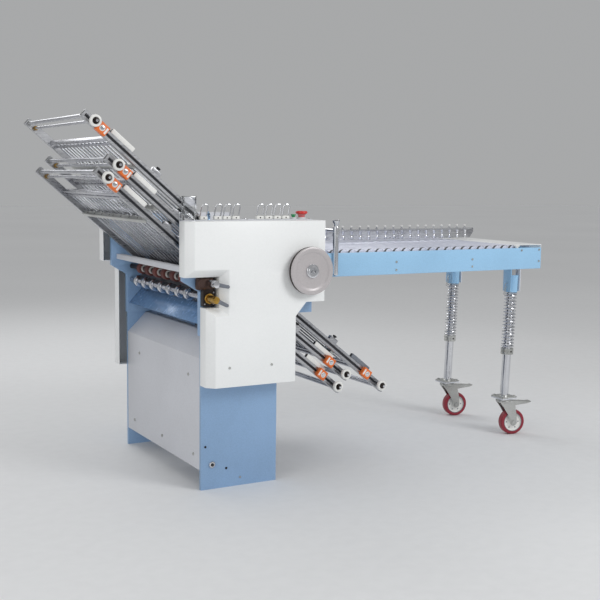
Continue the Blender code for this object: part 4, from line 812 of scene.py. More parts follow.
class FOLDER_OT_motor(bpy.types.Operator):
    """The drive motor: ribbed body, fan cowl, flange bolts and terminal box"""

    bl_idname = "folder.motor"
    bl_label = "Motor"

    def execute(self, context):
        kit = stock()
        back, x, z = WIDTH - 0.0123, 0.135, 0.210
        start, axis = (x, back, z), (0, -1, 0)
        body = turned([(0, 0.0760), (0.0020, 0.0780), (0.0100, 0.0780), (0.0120, 0.0765),
                       (0.0122, 0.0600), (0.0200, 0.0565), (0.1550, 0.0565),
                       (0.1560, 0.0610), (0.1620, 0.0620), (0.1700, 0.0615),
                       (0.1880, 0.0560), (0.1900, 0.0540), (0.1900, 0.0300),
                       (0.1880, 0.0280), (0.1880, 0.0140), (0.1900, 0.0120)],
                      start, axis, 64)
        shaft = painted(rod(0.0090, (x, back - 0.188, z), (x, back - 0.2198, z), 24),
                        kit["steel"])
        parts = [painted(body, kit["motor"]), shaft]
        rib = painted(box((-0.0011, -0.1540, 0.0555), (0.0011, -0.0150, 0.0618), 0.0005, 1),
                      kit["motor"])
        for index in range(40):
            angle = math.tau * index / 40
            if abs(math.sin(angle / 2)) > 0.36:
                parts.append(copy_of(rib, start, Matrix.Rotation(angle, 4, "Y")))
        for index in range(4):
            angle = math.tau * (index + 0.5) / 4
            parts.append(screw((x + 0.070 * math.cos(angle), back - 0.012,
                                z + 0.070 * math.sin(angle)), axis, 0.0050, kit["zinc"],
                               0.004))
        middle = back - 0.095
        case = box((x - 0.040, middle - 0.035, z + 0.050), (x + 0.040, middle + 0.035,
                                                           z + 0.0800), 0.003, 3)
        lid = box((x - 0.0400, middle - 0.0350, z + 0.0808), (x + 0.0400, middle + 0.0350,
                                                             z + 0.0918), 0.0025, 3)
        parts += [painted(case, kit["motor"]), painted(lid, kit["motor"])]
        parts += [screw((x + sx * 0.032, middle + sy * 0.027, z + 0.0905), (0, 0, 1),
                        0.0028, kit["zinc"], 0.0013) for sx in (-1, 1) for sy in (-1, 1)]
        gland = turned([(-0.006, 0.0100), (0.0, 0.0105), (0.0010, 0.0090),
                        (0.0080, 0.0088), (0.0100, 0.0070)],
                       (x + 0.0390, middle, z + 0.066), (1, 0, 0), 6)
        parts.append(painted(gland, kit["black"]))
        bpy.data.objects.remove(rib)
        settle(joined(parts), "motor_dressed", "machine", "motor", "motor")
        return {"FINISHED"}


# The six buckle plates: reach of the knob, tie rod past it, and what is set back from it
UPPER_REACH = {1: 0.612, 2: 0.489, 3: 0.502}
LOWER_REACH = {1: 0.727, 2: 0.569, 3: 0.559}
PLATE_SIDE = WIDTH / 2 - 0.020 - 0.0003
PLATE_INNER = PLATE_SIDE - 0.018


def plates():
    """Name, place, near side and lengths of each buckle plate."""
    for upper in (True, False):
        for number in (1, 2, 3):
            step = 2 * number - 1 if upper else 2 * number
            along = STEP * (step - 1)
            mouth = Vector((FIRST_NIP_X - along * math.cos(STACK), WIDTH / 2,
                            TABLE - along * math.sin(STACK)))
            tilt = math.radians(40.5 if upper else 38.5)
            way = -1 if upper else 1
            out = Vector((way * math.cos(tilt), 0, -way * math.sin(tilt)))
            normal = Vector((math.sin(tilt), 0, math.cos(tilt)))
            across = normal.cross(out)
            turn = Matrix((out, across, normal)).transposed().to_4x4()
            knob = (UPPER_REACH if upper else LOWER_REACH)[number]
            yield (("upper" if upper else "lower") + f"_plate_{number}",
                   Matrix.Translation(mouth) @ turn, -1 if across.y > 0 else 1,
                   {"knob": knob, "tie": knob + (0.025 if upper else 0.020),
                    "grid": knob - (0.075 if upper else 0.105),
                    "counter": knob - (0.034 if upper else 0.072)})


def ordered(low, high, near):
    """Corners of a box whose Y is given outwards from the middle on the near side."""
    (a, b), (c, d) = sorted((near * low[1], near * high[1])), (low[2], high[2])
    return (low[0], a, c), (high[0], b, d)


def plate_box(kit, finish_, near, low, high, round_by=0.0008, segments=2):
    """A rounded block in a buckle plate's own frame."""
    return painted(box(*ordered(low, high, near), round_by, segments), kit[finish_])


class FOLDER_OT_buckle_plates(bpy.types.Operator):
    """Rails, rods, cross bars and tie rods of the six buckle plates"""

    bl_idname = "folder.buckle_plates"
    bl_label = "Buckle plates"

    def execute(self, context):
        kit = stock()
        sizes = context.scene.folder_sizes
        for name, place, near, at in plates():
            parts = []
            end = at["tie"] + 0.012
            for side in (-1, 1):
                rail = box((0.035, min(side * PLATE_INNER, side * PLATE_SIDE), -0.0125),
                           (end, max(side * PLATE_INNER, side * PLATE_SIDE), 0.0125), 0)
                edit(rail)
                choose(rail, lambda middle, face: face.y * side > 0.9)
                bpy.ops.mesh.inset(thickness=0.0080)
                bpy.ops.mesh.extrude_region_move(TRANSFORM_OT_translate={
                    "value": (0, -side * sizes.rail_slot, 0)})
                # The sunk slot floor takes the dark grey second finish: painted shade in the
                # recess, while the rest of the rail stays steel
                painted(rail, kit["steel"]).data.materials.append(kit["socket"])
                rail.active_material_index = 1
                bpy.ops.object.material_slot_assign()
                leave()
                parts.append(rounded(rail, 0.0007, 1))
                cap = box((end - 0.0005, min(side * (PLATE_INNER + 0.002),
                                             side * (PLATE_SIDE - 0.002)), -0.0105),
                          (end + 0.0003, max(side * (PLATE_INNER + 0.002),
                                             side * (PLATE_SIDE - 0.002)), 0.0105), 0.0002)
                parts.append(painted(cap, kit["black"]))
                nut = turned([(0, 0.0085), (0.0060, 0.0085), (0.0068, 0.0075)],
                             (at["tie"], side * (PLATE_INNER - 0.0070), 0), (0, side, 0), 6)
                parts.append(painted(nut, kit["zinc"]))
            pitch = 2 * (PLATE_INNER + 0.001) / sizes.grid_gaps
            bar = painted(rod(sizes.grid_rod, (0.030, 0, 0), (at["grid"] - 0.004, 0, 0), 10),
                          kit["rod"])
            for index in range(1, sizes.grid_gaps):
                parts.append(copy_of(bar, (0, pitch * index - PLATE_INNER - 0.001, 0)))
            bpy.data.objects.remove(bar)
            mouth = box((0.022, -PLATE_INNER - 0.001, -0.003), (0.046, PLATE_INNER + 0.001,
                                                              0.003), 0.0008)
            lip = box((at["grid"] - 0.025, -PLATE_INNER - 0.001, -0.003),
                      (at["grid"] - 0.015, PLATE_INNER + 0.001, 0.0035), 0.0008)
            brace = box((at["grid"] - 0.006, -PLATE_INNER - 0.001, -0.006),
                        (at["grid"] + 0.006, PLATE_INNER + 0.001, 0.006), 0.0012)
            rounds = rod(0.0060, (at["tie"], -PLATE_INNER - 0.004, 0),
                         (at["tie"], PLATE_INNER + 0.004, 0), 24)
            parts += [painted(piece, kit["across"]) for piece in (mouth, lip, brace, rounds)]
            head = screw((0, 0, 0), (0, 0, 1), 0.0026, kit["dark"], 0.0012)
            for index in range(1, sizes.grid_gaps):
                parts.append(copy_of(head, (at["grid"] - 0.020,
                                            pitch * index - PLATE_INNER - 0.001, 0.0035)))
            bpy.data.objects.remove(head)
            whole = joined(parts)
            whole.data.transform(place)
            settle(whole, name + "_grid", "machine", name + "_frame", name + "_frame")
        return {"FINISHED"}


class FOLDER_OT_plate_housings(bpy.types.Operator):
    """Orange counters, white housings and clamp blocks on the near rails"""

    bl_idname = "folder.plate_housings"
    bl_label = "Counters and housings"

    def execute(self, context):
        kit = stock()
        outer, inner = PLATE_SIDE, PLATE_INNER
        for name, place, near, at in plates():
            mid, knob = at["counter"], at["knob"]
            case = plate_box(kit, "orange", near, (mid - 0.018, outer - 0.001, -0.016),
                             (mid + 0.018, outer + 0.0178, 0.016), 0.0030, 3)
            window = plate_box(kit, "ivory", near, (mid - 0.0150, outer + 0.0172, -0.0100),
                               (mid - 0.0085, outer + 0.0181, 0.0100), 0.0003, 1)
            ring = turned([(0.0172, 0.0090), (0.0180, 0.0090), (0.0183, 0.0082)],
                          (mid + 0.003, near * outer, 0), (0, near, 0), 32)
            button = turned([(0.0176, 0.0068), (0.0186, 0.0068), (0.0190, 0.0058),
                             (0.0190, 0.0020)], (mid + 0.003, near * outer, 0),
                            (0, near, 0), 24)
            parts = [case, window, painted(ring, kit["ivory"]),
                     painted(button, kit["chrome"])]
            clip = plate_box(kit, "black", near, (mid - 0.030, inner + 0.003, 0.0115),
                             (mid + 0.016, outer - 0.003, 0.0165), 0.0010)
            whole = joined(parts + [clip])
            whole.data.transform(place)
            settle(whole, name + "_counter", "machine", name + "_frame")
            end = knob - 0.062
            long_finish = "grey" if name == "lower_plate_1" else "ivory"
            tube = plate_box(kit, long_finish, near, (end - 0.090, inner + 0.0005, 0.0115),
                             (end, outer - 0.0005, 0.0280), 0.0032, 4)
            ends = [plate_box(kit, "black", near, (s, inner + 0.003, 0.0140),
                              (s + 0.0012, outer - 0.003, 0.0258), 0.0006)
                    for s in (end - 0.0008, end - 0.0904)]
            screws = [screw((end + s, near * (inner + 0.009), 0.0279), (0, 0, 1), 0.0026,
                            kit["steel"], 0.0007) for s in (-0.010, -0.080)]
            whole = joined([tube] + ends + screws)
            whole.data.transform(place)
            settle(whole, name + "_housing", "machine", name + "_frame")
            end = knob - 0.230
            block = plate_box(kit, "steel", near, (end - 0.034, inner + 0.0005, 0.0115),
                              (end, outer - 0.0005, 0.0260), 0.0014, 3)
            pin = turned([(0, 0.0040), (0.0050, 0.0040), (0.0052, 0.0066),
                          (0.0066, 0.0074), (0.0084, 0.0074), (0.0092, 0.0064)],
                         (end - 0.017, near * (inner + 0.009), 0.0255), (0, 0, 1), 24)
            bolts = [screw((end - s, near * (inner + 0.009), 0.0259), (0, 0, 1), 0.0026,
                           kit["dark"], 0.0014) for s in (0.005, 0.029)]
            whole = joined([block, painted(pin, kit["black"])] + bolts)
            whole.data.transform(place)
            settle(whole, name + "_clamp", "machine", name + "_frame")
        return {"FINISHED"}


class FOLDER_OT_sheet_stops(bpy.types.Operator):
    """The sliding sheet stops with their fingers between the rods"""

    bl_idname = "folder.sheet_stops"
    bl_label = "Sheet stops"

    def execute(self, context):
        kit = stock()
        gaps = context.scene.folder_sizes.grid_gaps
        pitch = 2 * (PLATE_INNER + 0.001) / gaps
        for name, place, near, at in plates():
            s = at["grid"] - 0.110
            bar = painted(box((s - 0.007, -PLATE_INNER + 0.0006, -0.0183),
                              (s + 0.007, PLATE_INNER - 0.0006, -0.0033), 0.0010),
                          kit["zinc"])
            parts = [bar]
            for gap in (1, 3, 5, 7, 8, 10, 12, 14):
                y = pitch * (gap + 0.5) - PLATE_INNER - 0.001
                parts.append(painted(box((s - 0.004, y - 0.004, -0.0100),
                                         (s + 0.004, y + 0.004, 0.0099), 0.0012),
                                     kit["black"]))
                parts.append(screw((s + 0.0068, y, -0.0110), (1, 0, 0), 0.0024,
                                   kit["dark"], 0.0012))
            whole = joined(parts)
            whole.data.transform(place)
            settle(whole, name + "_stop_dressed", name + "_stop", name + "_stop",
                   name + "_stop")
        return {"FINISHED"}


class FOLDER_OT_plate_knobs(bpy.types.Operator):
    """The stop knobs on their cross shafts, with a pinion inside each rail"""

    bl_idname = "folder.plate_knobs"
    bl_label = "Stop knobs"

    def execute(self, context):
        kit = stock()
        disc = PLATE_SIDE + 0.020
        pinion = PLATE_INNER - 0.0008
        for name, place, near, at in plates():
            s, axis = (at["knob"], 0, 0), (0, near, 0)
            ring = turned([(disc, 0.0150), (disc + 0.0006, 0.0170), (disc + 0.0020, 0.0180),
                           (disc + 0.0100, 0.0180), (disc + 0.0114, 0.0172),
                           (disc + 0.0120, 0.0155), (disc + 0.0120, 0.0112),
                           (disc + 0.0092, 0.0104)], s, axis, 40)
            heart = turned([(disc + 0.0080, 0.0103), (disc + 0.0098, 0.0100),
                            (disc + 0.0102, 0.0078), (disc + 0.0150, 0.0074),
                            (disc + 0.0156, 0.0060)], s, axis, 24)
            pin = turned([(disc + 0.0100, 0.0046), (disc + 0.0230, 0.0046),
                          (disc + 0.0239, 0.0036)], s, axis, 6)
            shaft = rod(0.0045, (at["knob"], -near * PLATE_SIDE, 0),
                        (at["knob"], near * (disc + 0.006), 0), 20)
            parts = [painted(ring, kit["ivory"]), painted(heart, kit["dark"]),
                     painted(pin, kit["chrome"]), painted(shaft, kit["across"])]
            for side in (-1, 1):
                teeth = 16
                points = []
                for index in range(teeth * 4):
                    angle = math.tau * index / (teeth * 4)
                    far = 0.0079 if index % 4 in (1, 2) else 0.0066
                    points.append((far * math.cos(angle), far * math.sin(angle)))
                low, high = sorted((side * (pinion - 0.010), side * pinion))
                gear = upright(points, low, high, 0)
                gear.data.transform(Matrix.Translation((at["knob"], 0, 0)))
                parts.append(painted(gear, kit["brass"]))
            whole = joined(parts)
            whole.data.transform(place)
            settle(whole, name + "_knob_dressed", name + "_knob", name + "_knob",
                   name + "_knob")
        return {"FINISHED"}


class FOLDER_OT_table(bpy.types.Operator):
    """The infeed table: rails, rollers, infeed plate, end plate and splices"""

    bl_idname = "folder.table"
    bl_label = "Infeed table"

    def execute(self, context):
        kit = stock()
        for name, low, high, out in (("near", 0, 0.012, -1), ("far", 0.663, WIDTH, 1)):
            rail = painted(box((0.4003, low, 0.671), (1.398, high, 0.750), 0.0012, 3),
                           kit["rail"])
            face = low if out < 0 else high
            heads = [screw((x, face, z), (0, out, 0), 0.0042, kit["zinc"], 0.0022)
                     for x, z in ((0.420, 0.686), (0.420, 0.714), (0.738, 0.686),
                                  (0.738, 0.714), (1.071, 0.688), (1.071, 0.714),
                                  (1.387, 0.699), (1.387, 0.742), (1.302, 0.741))]
            middle = (low + high) / 2
            cap = turned([(-0.0010, 0.0060), (0.0040, 0.0062), (0.0060, 0.0110),
                          (0.0085, 0.0112), (0.0096, 0.0100), (0.0098, 0.0050)],
                         (1.2835, middle + 0.0010, 0.7500), (0, 0, 1), 32)
            settle(joined([rail, painted(cap, kit["ivory"])] + heads),
                   f"{name}_table_rail", "machine", "table_frame",
                   *(("table_frame",) if out < 0 else ()))
        drum = turned([(0.0118, 0.0040), (0.0118, 0.0048), (0.0158, 0.0048),
                       (0.0160, 0.0128), (0.0164, 0.0150), (0.0176, 0.0155),
                       (0.6574, 0.0155), (0.6586, 0.0150), (0.6590, 0.0128),
                       (0.6592, 0.0048), (0.6632, 0.0048), (0.6632, 0.0040)],
                      axis=(0, 1, 0), sides=28)
        ends = [painted(turned([(0, 0.0135), (0.0006, 0.01565), (0.0110, 0.01565),
                                (0.0112, 0.0150)], (0, start, 0), (0, way, 0), 28),
                        kit["black"]) for start, way in ((0.0162, 1), (0.6588, -1))]
        drum = joined([painted(drum, kit["table"])] + ends)
        drums = [copy_of(drum, (1.273 - 0.037 * i, 0, 0.7445)) for i in range(24)]
        bpy.data.objects.remove(drum)
        settle(joined(drums), "table_rollers", "machine", "table_frame")
        bars = [painted(box((x, 0.011, 0.671), (x + 0.005, 0.664, 0.750), 0.0008),
                        kit["rail"]) for x in (0.4003, 1.3675)]
        for far, rail in ((0.0203, 0.011), (WIDTH - 0.0203, WIDTH - 0.011)):
            inner = far + math.copysign(0.012, far - rail)
            low, high = sorted((rail, inner))
            bars.append(painted(box((0.4013, low, 0.694), (0.470, high, 0.727), 0.0010),
                                kit["rail"]))
            low, high = sorted((far, inner))
            bars.append(painted(box((0.366, low, 0.694), (0.4023, high, 0.727), 0.0010),
                                kit["rail"]))
            bars += [screw((x, inner, 0.7105), (0, math.copysign(1, inner - rail), 0),
                           0.0046, kit["zinc"], 0.003) for x in (0.384, 0.450)]
        settle(joined(bars), "table_cross_members", "machine", "table_frame")
        leaf = painted(box((0.165, 0.047, 0.751), (0.4003, 0.628, 0.757), 0.0014, 3),
                       kit["across"])
        web = painted(box((0.4003, 0.053, 0.749), (0.4053, 0.622, 0.757), 0.0008),
                      kit["across"])
        heads = [screw((x, y, 0.757), (0, 0, 1), 0.0036, kit["zinc"], 0.0008)
                 for x in (0.200, 0.385) for y in (0.070, 0.3375, 0.605)]
        settle(joined([leaf, web] + heads), "infeed_plate", "machine", "table_frame")
        right = 1.425
        outline = [(1.293, 0.7575), (right - 0.0025, 0.7575), (right - 0.0025, 0.744),
                   (right, 0.744), (right, 0.7588), (right - 0.0004, 0.7596),
                   (right - 0.0012, 0.760), (1.293, 0.760)]
        plate = painted(upright(outline, 0.030, 0.645, 0.0006), kit["white"])
        post = painted(box((1.3698, 0.035, 0.7475), (1.3722, 0.640, 0.7578), 0.0006),
                       kit["panel"])
        settle(joined([plate, post]), "table_end_plate", "machine", "table_frame")
        return {"FINISHED"}


class FOLDER_OT_bridge(bpy.types.Operator):
    """The bridge over the table: two arms, the chrome bar and the clamp knob"""

    bl_idname = "folder.bridge"
    bl_label = "Guide bridge"

    def execute(self, context):
        kit = stock()
        x = 0.487
        parts = []
        for low, high, out in ((-0.012, 0.001, -1), (WIDTH - 0.001, WIDTH + 0.012, 1)):
            middle = (low + high) / 2
            arm = painted(turned([(0.6765, 0.0072), (0.6790, 0.0092), (0.6830, 0.0096),
                                  (0.8060, 0.0096), (0.8066, 0.0106), (0.8090, 0.0110),
                                  (0.8370, 0.0110), (0.8395, 0.0100), (0.8400, 0.0072)],
                                 (x, middle, 0), sides=48), kit["chrome"])
            face = low if out < 0 else high
            parts.append(arm)
            ferrule = turned([(-0.001, 0.0088), (0.0010, 0.0090), (0.0018, 0.0080),
                              (0.0018, 0.0050)], (x, face, 0.826), (0, out, 0), 24)
            parts.append(painted(ferrule, kit["chrome"]))
        bar = painted(rod(0.0060, (x, -0.0060, 0.826), (x, WIDTH + 0.0060, 0.826), 32),
                      kit["chrome"])
        knob = turned([(0.8395, 0.0062), (0.8450, 0.0062), (0.8470, 0.0075),
                       (0.8560, 0.0119), (0.8600, 0.0119), (0.8612, 0.0110),
                       (0.8600, 0.0096), (0.8590, 0.0040)], (x, -0.0055, 0), sides=24)
        band = torus((x, -0.0055, 0.8598), (0, 0, 1), 0.0112, 0.0008)
        settle(joined(parts + [bar, painted(knob, kit["chrome"]),
                               painted(band, kit["black"])]), "guide_bridge",
               "machine", "table_frame")
        return {"FINISHED"}


class FOLDER_OT_side_guide(bpy.types.Operator):
    """The side guide with its white-tipped ball posts and its clamp slider"""

    bl_idname = "folder.side_guide"
    bl_label = "Side guide"

    def execute(self, context):
        kit = stock()
        y, x = 0.410, 0.487
        blade = upright([(0.440, 0.766), (1.378, 0.766), (1.395, 0.790), (1.395, 0.805),
                         (0.440, 0.805)], y - 0.006, y + 0.006, 0.0008)
        points = [(0.440, y - 0.013), (1.368, y - 0.013), (1.395, y - 0.003),
                  (1.395, y + 0.003), (1.368, y + 0.013), (0.440, y + 0.013)]
        roof = sheet(points, 0.006, Matrix.Translation((0, 0, 0.800)), 0.0010)
        parts = [painted(blade, kit["steel"]), painted(roof, kit["chrome"])]
        post = painted(turned([(0.8050, 0.0044), (0.8090, 0.0044), (0.8092, 0.0026),
                               (0.8135, 0.0026)], sides=12), kit["chrome"])
        tip = painted(turned([(0.8130, 0.0030), (0.8135, 0.0040), (0.8150, 0.0046),
                              (0.8180, 0.0046), (0.8192, 0.0036), (0.8196, 0.0014)],
                             sides=12), kit["ivory"])
        body = painted(turned([(0.7672, 0.0070), (0.7680, 0.0082), (0.7760, 0.0090),
                               (0.7780, 0.0078), (0.7900, 0.0078), (0.7920, 0.0092),
                               (0.7995, 0.0092)], sides=14), kit["chrome"])
        for index in range(24):
            at = 1.354 - 0.0390 * index
            if abs(at - x) > 0.022 and at > 0.450:
                parts += [copy_of(post, (at, y, 0)), copy_of(tip, (at, y, 0)),
                          copy_of(body, (at, y, 0))]
        for piece in (post, tip, body):
            bpy.data.objects.remove(piece)
        slider = box((x - 0.016, y - 0.016, 0.8055), (x + 0.016, y + 0.016, 0.8350),
                     0.0024, 4)
        knob = turned([(0.8345, 0.0050), (0.8360, 0.0085), (0.8392, 0.0088),
                       (0.8399, 0.0075)], (x, y, 0), sides=24)
        collars = [painted(turned([(0, 0.0092), (0.0010, 0.0098), (0.0030, 0.0095),
                                   (0.0032, 0.0068)], (x, y + side * 0.0155, 0.826),
                                  (0, side, 0), 28), kit["chrome"]) for side in (-1, 1)]
        bolts = [screw((x + side * 0.016, y, 0.818), (side, 0, 0), 0.0032, kit["dark"],
                       0.0014) for side in (-1, 1)]
        settle(joined(parts + [painted(slider, kit["lever"]), painted(knob, kit["black"])]
                      + collars + bolts), "side_guide_dressed", "side_guide",
               "side_guide", "side_guide")
        return {"FINISHED"}


LEG_X = 1.394
LEAN = math.radians(2.2)
LEGS = {"near": 0.1545, "far": 0.5205}


def on_leg(height, y):
    """A point on a leg's leaning axis."""
    return Vector((LEG_X + (height - 0.650) * math.tan(LEAN), y, height))


class FOLDER_OT_legs(bpy.types.Operator):
    """The spring legs: sockets and flats, sliding tubes, collars, springs, foot plates"""

    bl_idname = "folder.legs"
    bl_label = "Spring legs"

    def execute(self, context):
        kit = stock()
        sizes = context.scene.folder_sizes
        along = on_leg(1.650, 0) - on_leg(0.650, 0)
        for side, y in LEGS.items():
            foot = on_leg(0.150, y)
            tall = (on_leg(0.633, y) - on_leg(0.566, y)).length
            sleeve = turned([(0, 0.0172), (0, 0.0238), (0.0010, 0.0250), (0.0060, 0.0250),
                             (0.0066, 0.0242), (tall - 0.0066, 0.0242),
                             (tall - 0.0060, 0.0250), (tall - 0.0010, 0.0250),
                             (tall, 0.0238), (tall, 0.0172)], on_leg(0.566, y), along, 48)
            left = box((LEG_X - 0.0255, y - 0.022, 0.570), (LEG_X - 0.0205, y + 0.022,
                                                           0.7495), 0.0012)
            right = box((LEG_X + 0.0205, y - 0.022, 0.570), (LEG_X + 0.0255, y + 0.022,
                                                            0.7575), 0.0012)
            parts = [painted(sleeve, kit["rail"]), painted(left, kit["rail"]),
                     painted(right, kit["panel"])]
            parts += [screw((LEG_X + 0.0255, y + dy, z), (1, 0, 0), 0.0046, kit["zinc"],
                            0.0030) for dy in (-0.010, 0.010) for z in (0.600, 0.735)]
            parts += [screw((LEG_X - 0.0255, y + dy, 0.735), (-1, 0, 0), 0.0046,
                            kit["zinc"], 0.0030) for dy in (-0.010, 0.010)]
            clip = [(-0.0205, -0.004, 0.6010), (-0.0290, -0.006, 0.6030),
                    (-0.0360, -0.007, 0.6015), (-0.0400, -0.008, 0.5940),
                    (-0.0440, -0.009, 0.5780), (-0.0465, -0.010, 0.5660),
                    (-0.0480, -0.010, 0.5605), (-0.0460, -0.011, 0.5575),
                    (-0.0425, -0.011, 0.5590), (-0.0405, -0.010, 0.5680),
                    (-0.0375, -0.009, 0.5800), (-0.0345, -0.009, 0.5905)]
            loop = wire([(LEG_X + dx, y + dy, z) for dx, dy, z in clip], 0.0012)
            parts.append(painted(loop, kit["zinc"]))
            settle(joined(parts), f"{side}_leg_socket", "machine", "table_frame")

            span = (on_leg(0.690, y) - foot).length
            tube = turned([(0, 0.0165), (span - 0.0016, 0.0165), (span, 0.0150),
                           (span, 0.0135), (span - 0.020, 0.0134)], foot, along, 48)
            ring_at = (on_leg(0.321, y) - foot).length
            ring = turned([(ring_at, 0.0167), (ring_at, 0.0232), (ring_at + 0.0012, 0.0245),
                           (ring_at + 0.0102, 0.0245), (ring_at + 0.0108, 0.0238),
                           (ring_at + 0.0132, 0.0238), (ring_at + 0.0138, 0.0245),
                           (ring_at + 0.0228, 0.0245), (ring_at + 0.0240, 0.0232),
                           (ring_at + 0.0240, 0.0167)], foot, along, 48)
            grub = screw(on_leg(0.333, y) + Vector((0, -0.0243, 0)), (0, -1, 0), 0.0034,
                         kit["dark"], 0.0008)
            over = box((foot.x - 0.036, y - 0.036, 0.1504), (foot.x + 0.036, y + 0.036,
                                                            0.1550), 0.0012)
            under = box((foot.x - 0.036, y - 0.036, 0.1450), (foot.x + 0.036, y + 0.036,
                                                             0.1500), 0.0012)
            weld = turned([(0, 0.0200), (0.0012, 0.0198), (0.0040, 0.0175),
                           (0.0046, 0.0160)], (foot.x, y, 0.1548), sides=32)
            king = rod(0.0160, (foot.x, y, 0.1428), (foot.x, y, 0.1460), 32)
            bolts = [painted(turned([(-0.001, 0.0058), (0.0032, 0.0058), (0.0040, 0.0050),
                                     (0.0040, 0.0026)],
                                    (foot.x + sx * 0.027, y + sy * 0.027, 0.155),
                                    sides=6), kit["zinc"])
                     for sx in (-1, 1) for sy in (-1, 1)]
            whole = [painted(tube, kit["chrome"]), painted(ring, kit["zinc"]), grub,
                     painted(over, kit["zinc"]), painted(under, kit["panel"]),
                     painted(weld, kit["zinc"]), painted(king, kit["zinc"])] + bolts
            tube_node = f"{side}_leg_tube"
            settle(joined(whole), tube_node + "_dressed", f"{side}_leg", tube_node,
                   tube_node)

            low = (on_leg(0.345, y) - foot).length + sizes.spring_wire + 0.0003
            high = (on_leg(0.566, y) - foot).length - sizes.spring_wire - 0.0003
            curl, steps = 0.0220, 24
            points = []
            count = (sizes.spring_turns + 2) * steps
            flat = 0.0064
            for index in range(count + 1):
                turns = index / steps
                if turns < 1:
                    rise = low + flat * turns
                elif turns > sizes.spring_turns + 1:
                    rise = high - flat * (sizes.spring_turns + 2 - turns)
                else:
                    share = (turns - 1) / sizes.spring_turns
                    rise = low + flat + (high - low - 2 * flat) * share
                angle = math.tau * turns
                points.append((curl * math.cos(angle), curl * math.sin(angle), rise))
            coil = painted(wire(points, sizes.spring_wire, sides=2), kit["chrome"])
            coil.data.transform(Matrix.Translation(foot) @ aim(along))
            spring_node = f"{side}_leg_spring"
            settle(coil, spring_node + "_dressed", None, spring_node, spring_node)
            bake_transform(coil)
        return {"FINISHED"}


class FOLDER_OT_casters(bpy.types.Operator):
    """The braked casters: pressed forks, axles, pedals and red-tyred wheels"""

    bl_idname = "folder.casters"
    bl_label = "Casters"

    def execute(self, context):
        kit = stock()
        top, hub = 0.1424, Vector((0.035, 0, 0.050))
        for side, y in LEGS.items():
            foot = on_leg(0.150, y)
            place = (Matrix.Translation((foot.x, y, 0))
                     @ Matrix.Rotation(math.radians(-14), 4, "Z"))
            crown = turned([(top - 0.0135, 0.0230), (top - 0.0130, 0.0275),
                            (top - 0.0110, 0.0297), (top - 0.0068, 0.0300),
                            (top - 0.0062, 0.0280), (top - 0.0050, 0.0272),
                            (top - 0.0042, 0.0285), (top - 0.0012, 0.0285),
                            (top - 0.0002, 0.0270), (top, 0.0150)], sides=48)
            arc = [(hub.x + 0.014 * math.sin(a), hub.z - 0.014 * math.cos(a))
                   for a in (math.pi * (i / 12 - 1 / 2) for i in range(13))]
            outline = [(-0.024, top - 0.0045), (-0.025, top - 0.0075), (-0.024, top - 0.013),
                       (-0.010, top - 0.030), (0.012, 0.078)] + arc
            outline += [(0.0475, 0.078), (0.041, top - 0.030), (0.032, top - 0.013),
                        (0.033, top - 0.0075), (0.032, top - 0.0045)]
            parts = [painted(crown, kit["zinc"])]
            for low, high in ((-0.022, -0.019), (0.019, 0.022)):
                parts.append(painted(upright(outline, low, high, 0.0009), kit["zinc"]))
            bridge = painted(box((-0.023, -0.0215, top - 0.0115), (0.031, 0.0215,
                                                                  top - 0.0075), 0.0012),
                             kit["zinc"])
            axle = painted(rod(0.0050, hub + Vector((0, -0.0250, 0)),
                               hub + Vector((0, 0.0250, 0)), 20), kit["zinc"])
            nuts = [painted(turned([(0.0218, 0.0086), (0.0246, 0.0086), (0.0254, 0.0076),
                                    (0.0254, 0.0050)], hub, (0, out, 0), 6), kit["zinc"])
                    for out in (-1, 1)]
            pedal = upright([(0.004, top - 0.0075), (0.004, top - 0.0240),
                             (0.040, top - 0.0270), (0.066, top - 0.0230),
                             (0.096, top - 0.0200), (0.112, top - 0.0150),
                             (0.1115, top - 0.0115), (0.096, top - 0.0130),
                             (0.060, top - 0.0100), (0.030, top - 0.0075)],
                            -0.0150, 0.0150, 0.0012)
            ribs = [painted(box((0.066 + 0.010 * i, -0.0120, top - 0.0165 - 0.0013 * i),
                                (0.070 + 0.010 * i, 0.0120, top - 0.0095 - 0.0010 * i),
                                0.0008), kit["zinc"]) for i in range(4)]
            spring = painted(box((0.030, -0.006, top - 0.034), (0.046, 0.006,
                                                               top - 0.0125), 0.002),
                             kit["dark"])
            node = f"{side}_caster_fork"
            whole = joined(parts + [bridge, axle, painted(pedal, kit["zinc"]), spring]
                           + nuts + ribs)
            whole.data.transform(place)
            settle(whole, node + "_dressed", f"{side}_caster", node, node)

            half = [(-0.0080, 0.0370), (-0.0145, 0.0372), (-0.0150, 0.0385),
                    (-0.0150, 0.0455), (-0.0142, 0.0478), (-0.0120, 0.0494),
                    (-0.0085, 0.0500)]
            tread = turned(half + [(-s, r) for s, r in reversed(half)], hub, (0, 1, 0), 72)
            half = [(-0.0186, 0.0080), (-0.0186, 0.0130), (-0.0176, 0.0145),
                    (-0.0100, 0.0152), (-0.0085, 0.0185), (-0.0085, 0.0325),
                    (-0.0120, 0.0345), (-0.0140, 0.0352), (-0.0142, 0.0373)]
            web = turned(half + [(-s, r) for s, r in reversed(half)], hub, (0, 1, 0), 64)
            rings = [painted(torus(hub + Vector((0, s, 0)), (0, 1, 0), 0.0364, 0.0013, 64),
                             kit["grey"]) for s in (-0.0140, 0.0140)]
            bolts = []
            for index in range(6):
                angle = math.tau * index / 6
                for out in (-1, 1):
                    spot = hub + Vector((0.0255 * math.cos(angle), out * 0.0084,
                                         0.0255 * math.sin(angle)))
                    bolts.append(screw(spot, (0, out, 0), 0.0026, kit["grey"], 0.0012))
            node = f"{side}_caster_wheel"
            whole = joined([painted(tread, kit["tyre"]), painted(web, kit["ivory"])]
                           + rings + bolts)
            whole.data.transform(place)
            settle(whole, node + "_dressed", f"{side}_wheel", node, node)
        return {"FINISHED"}


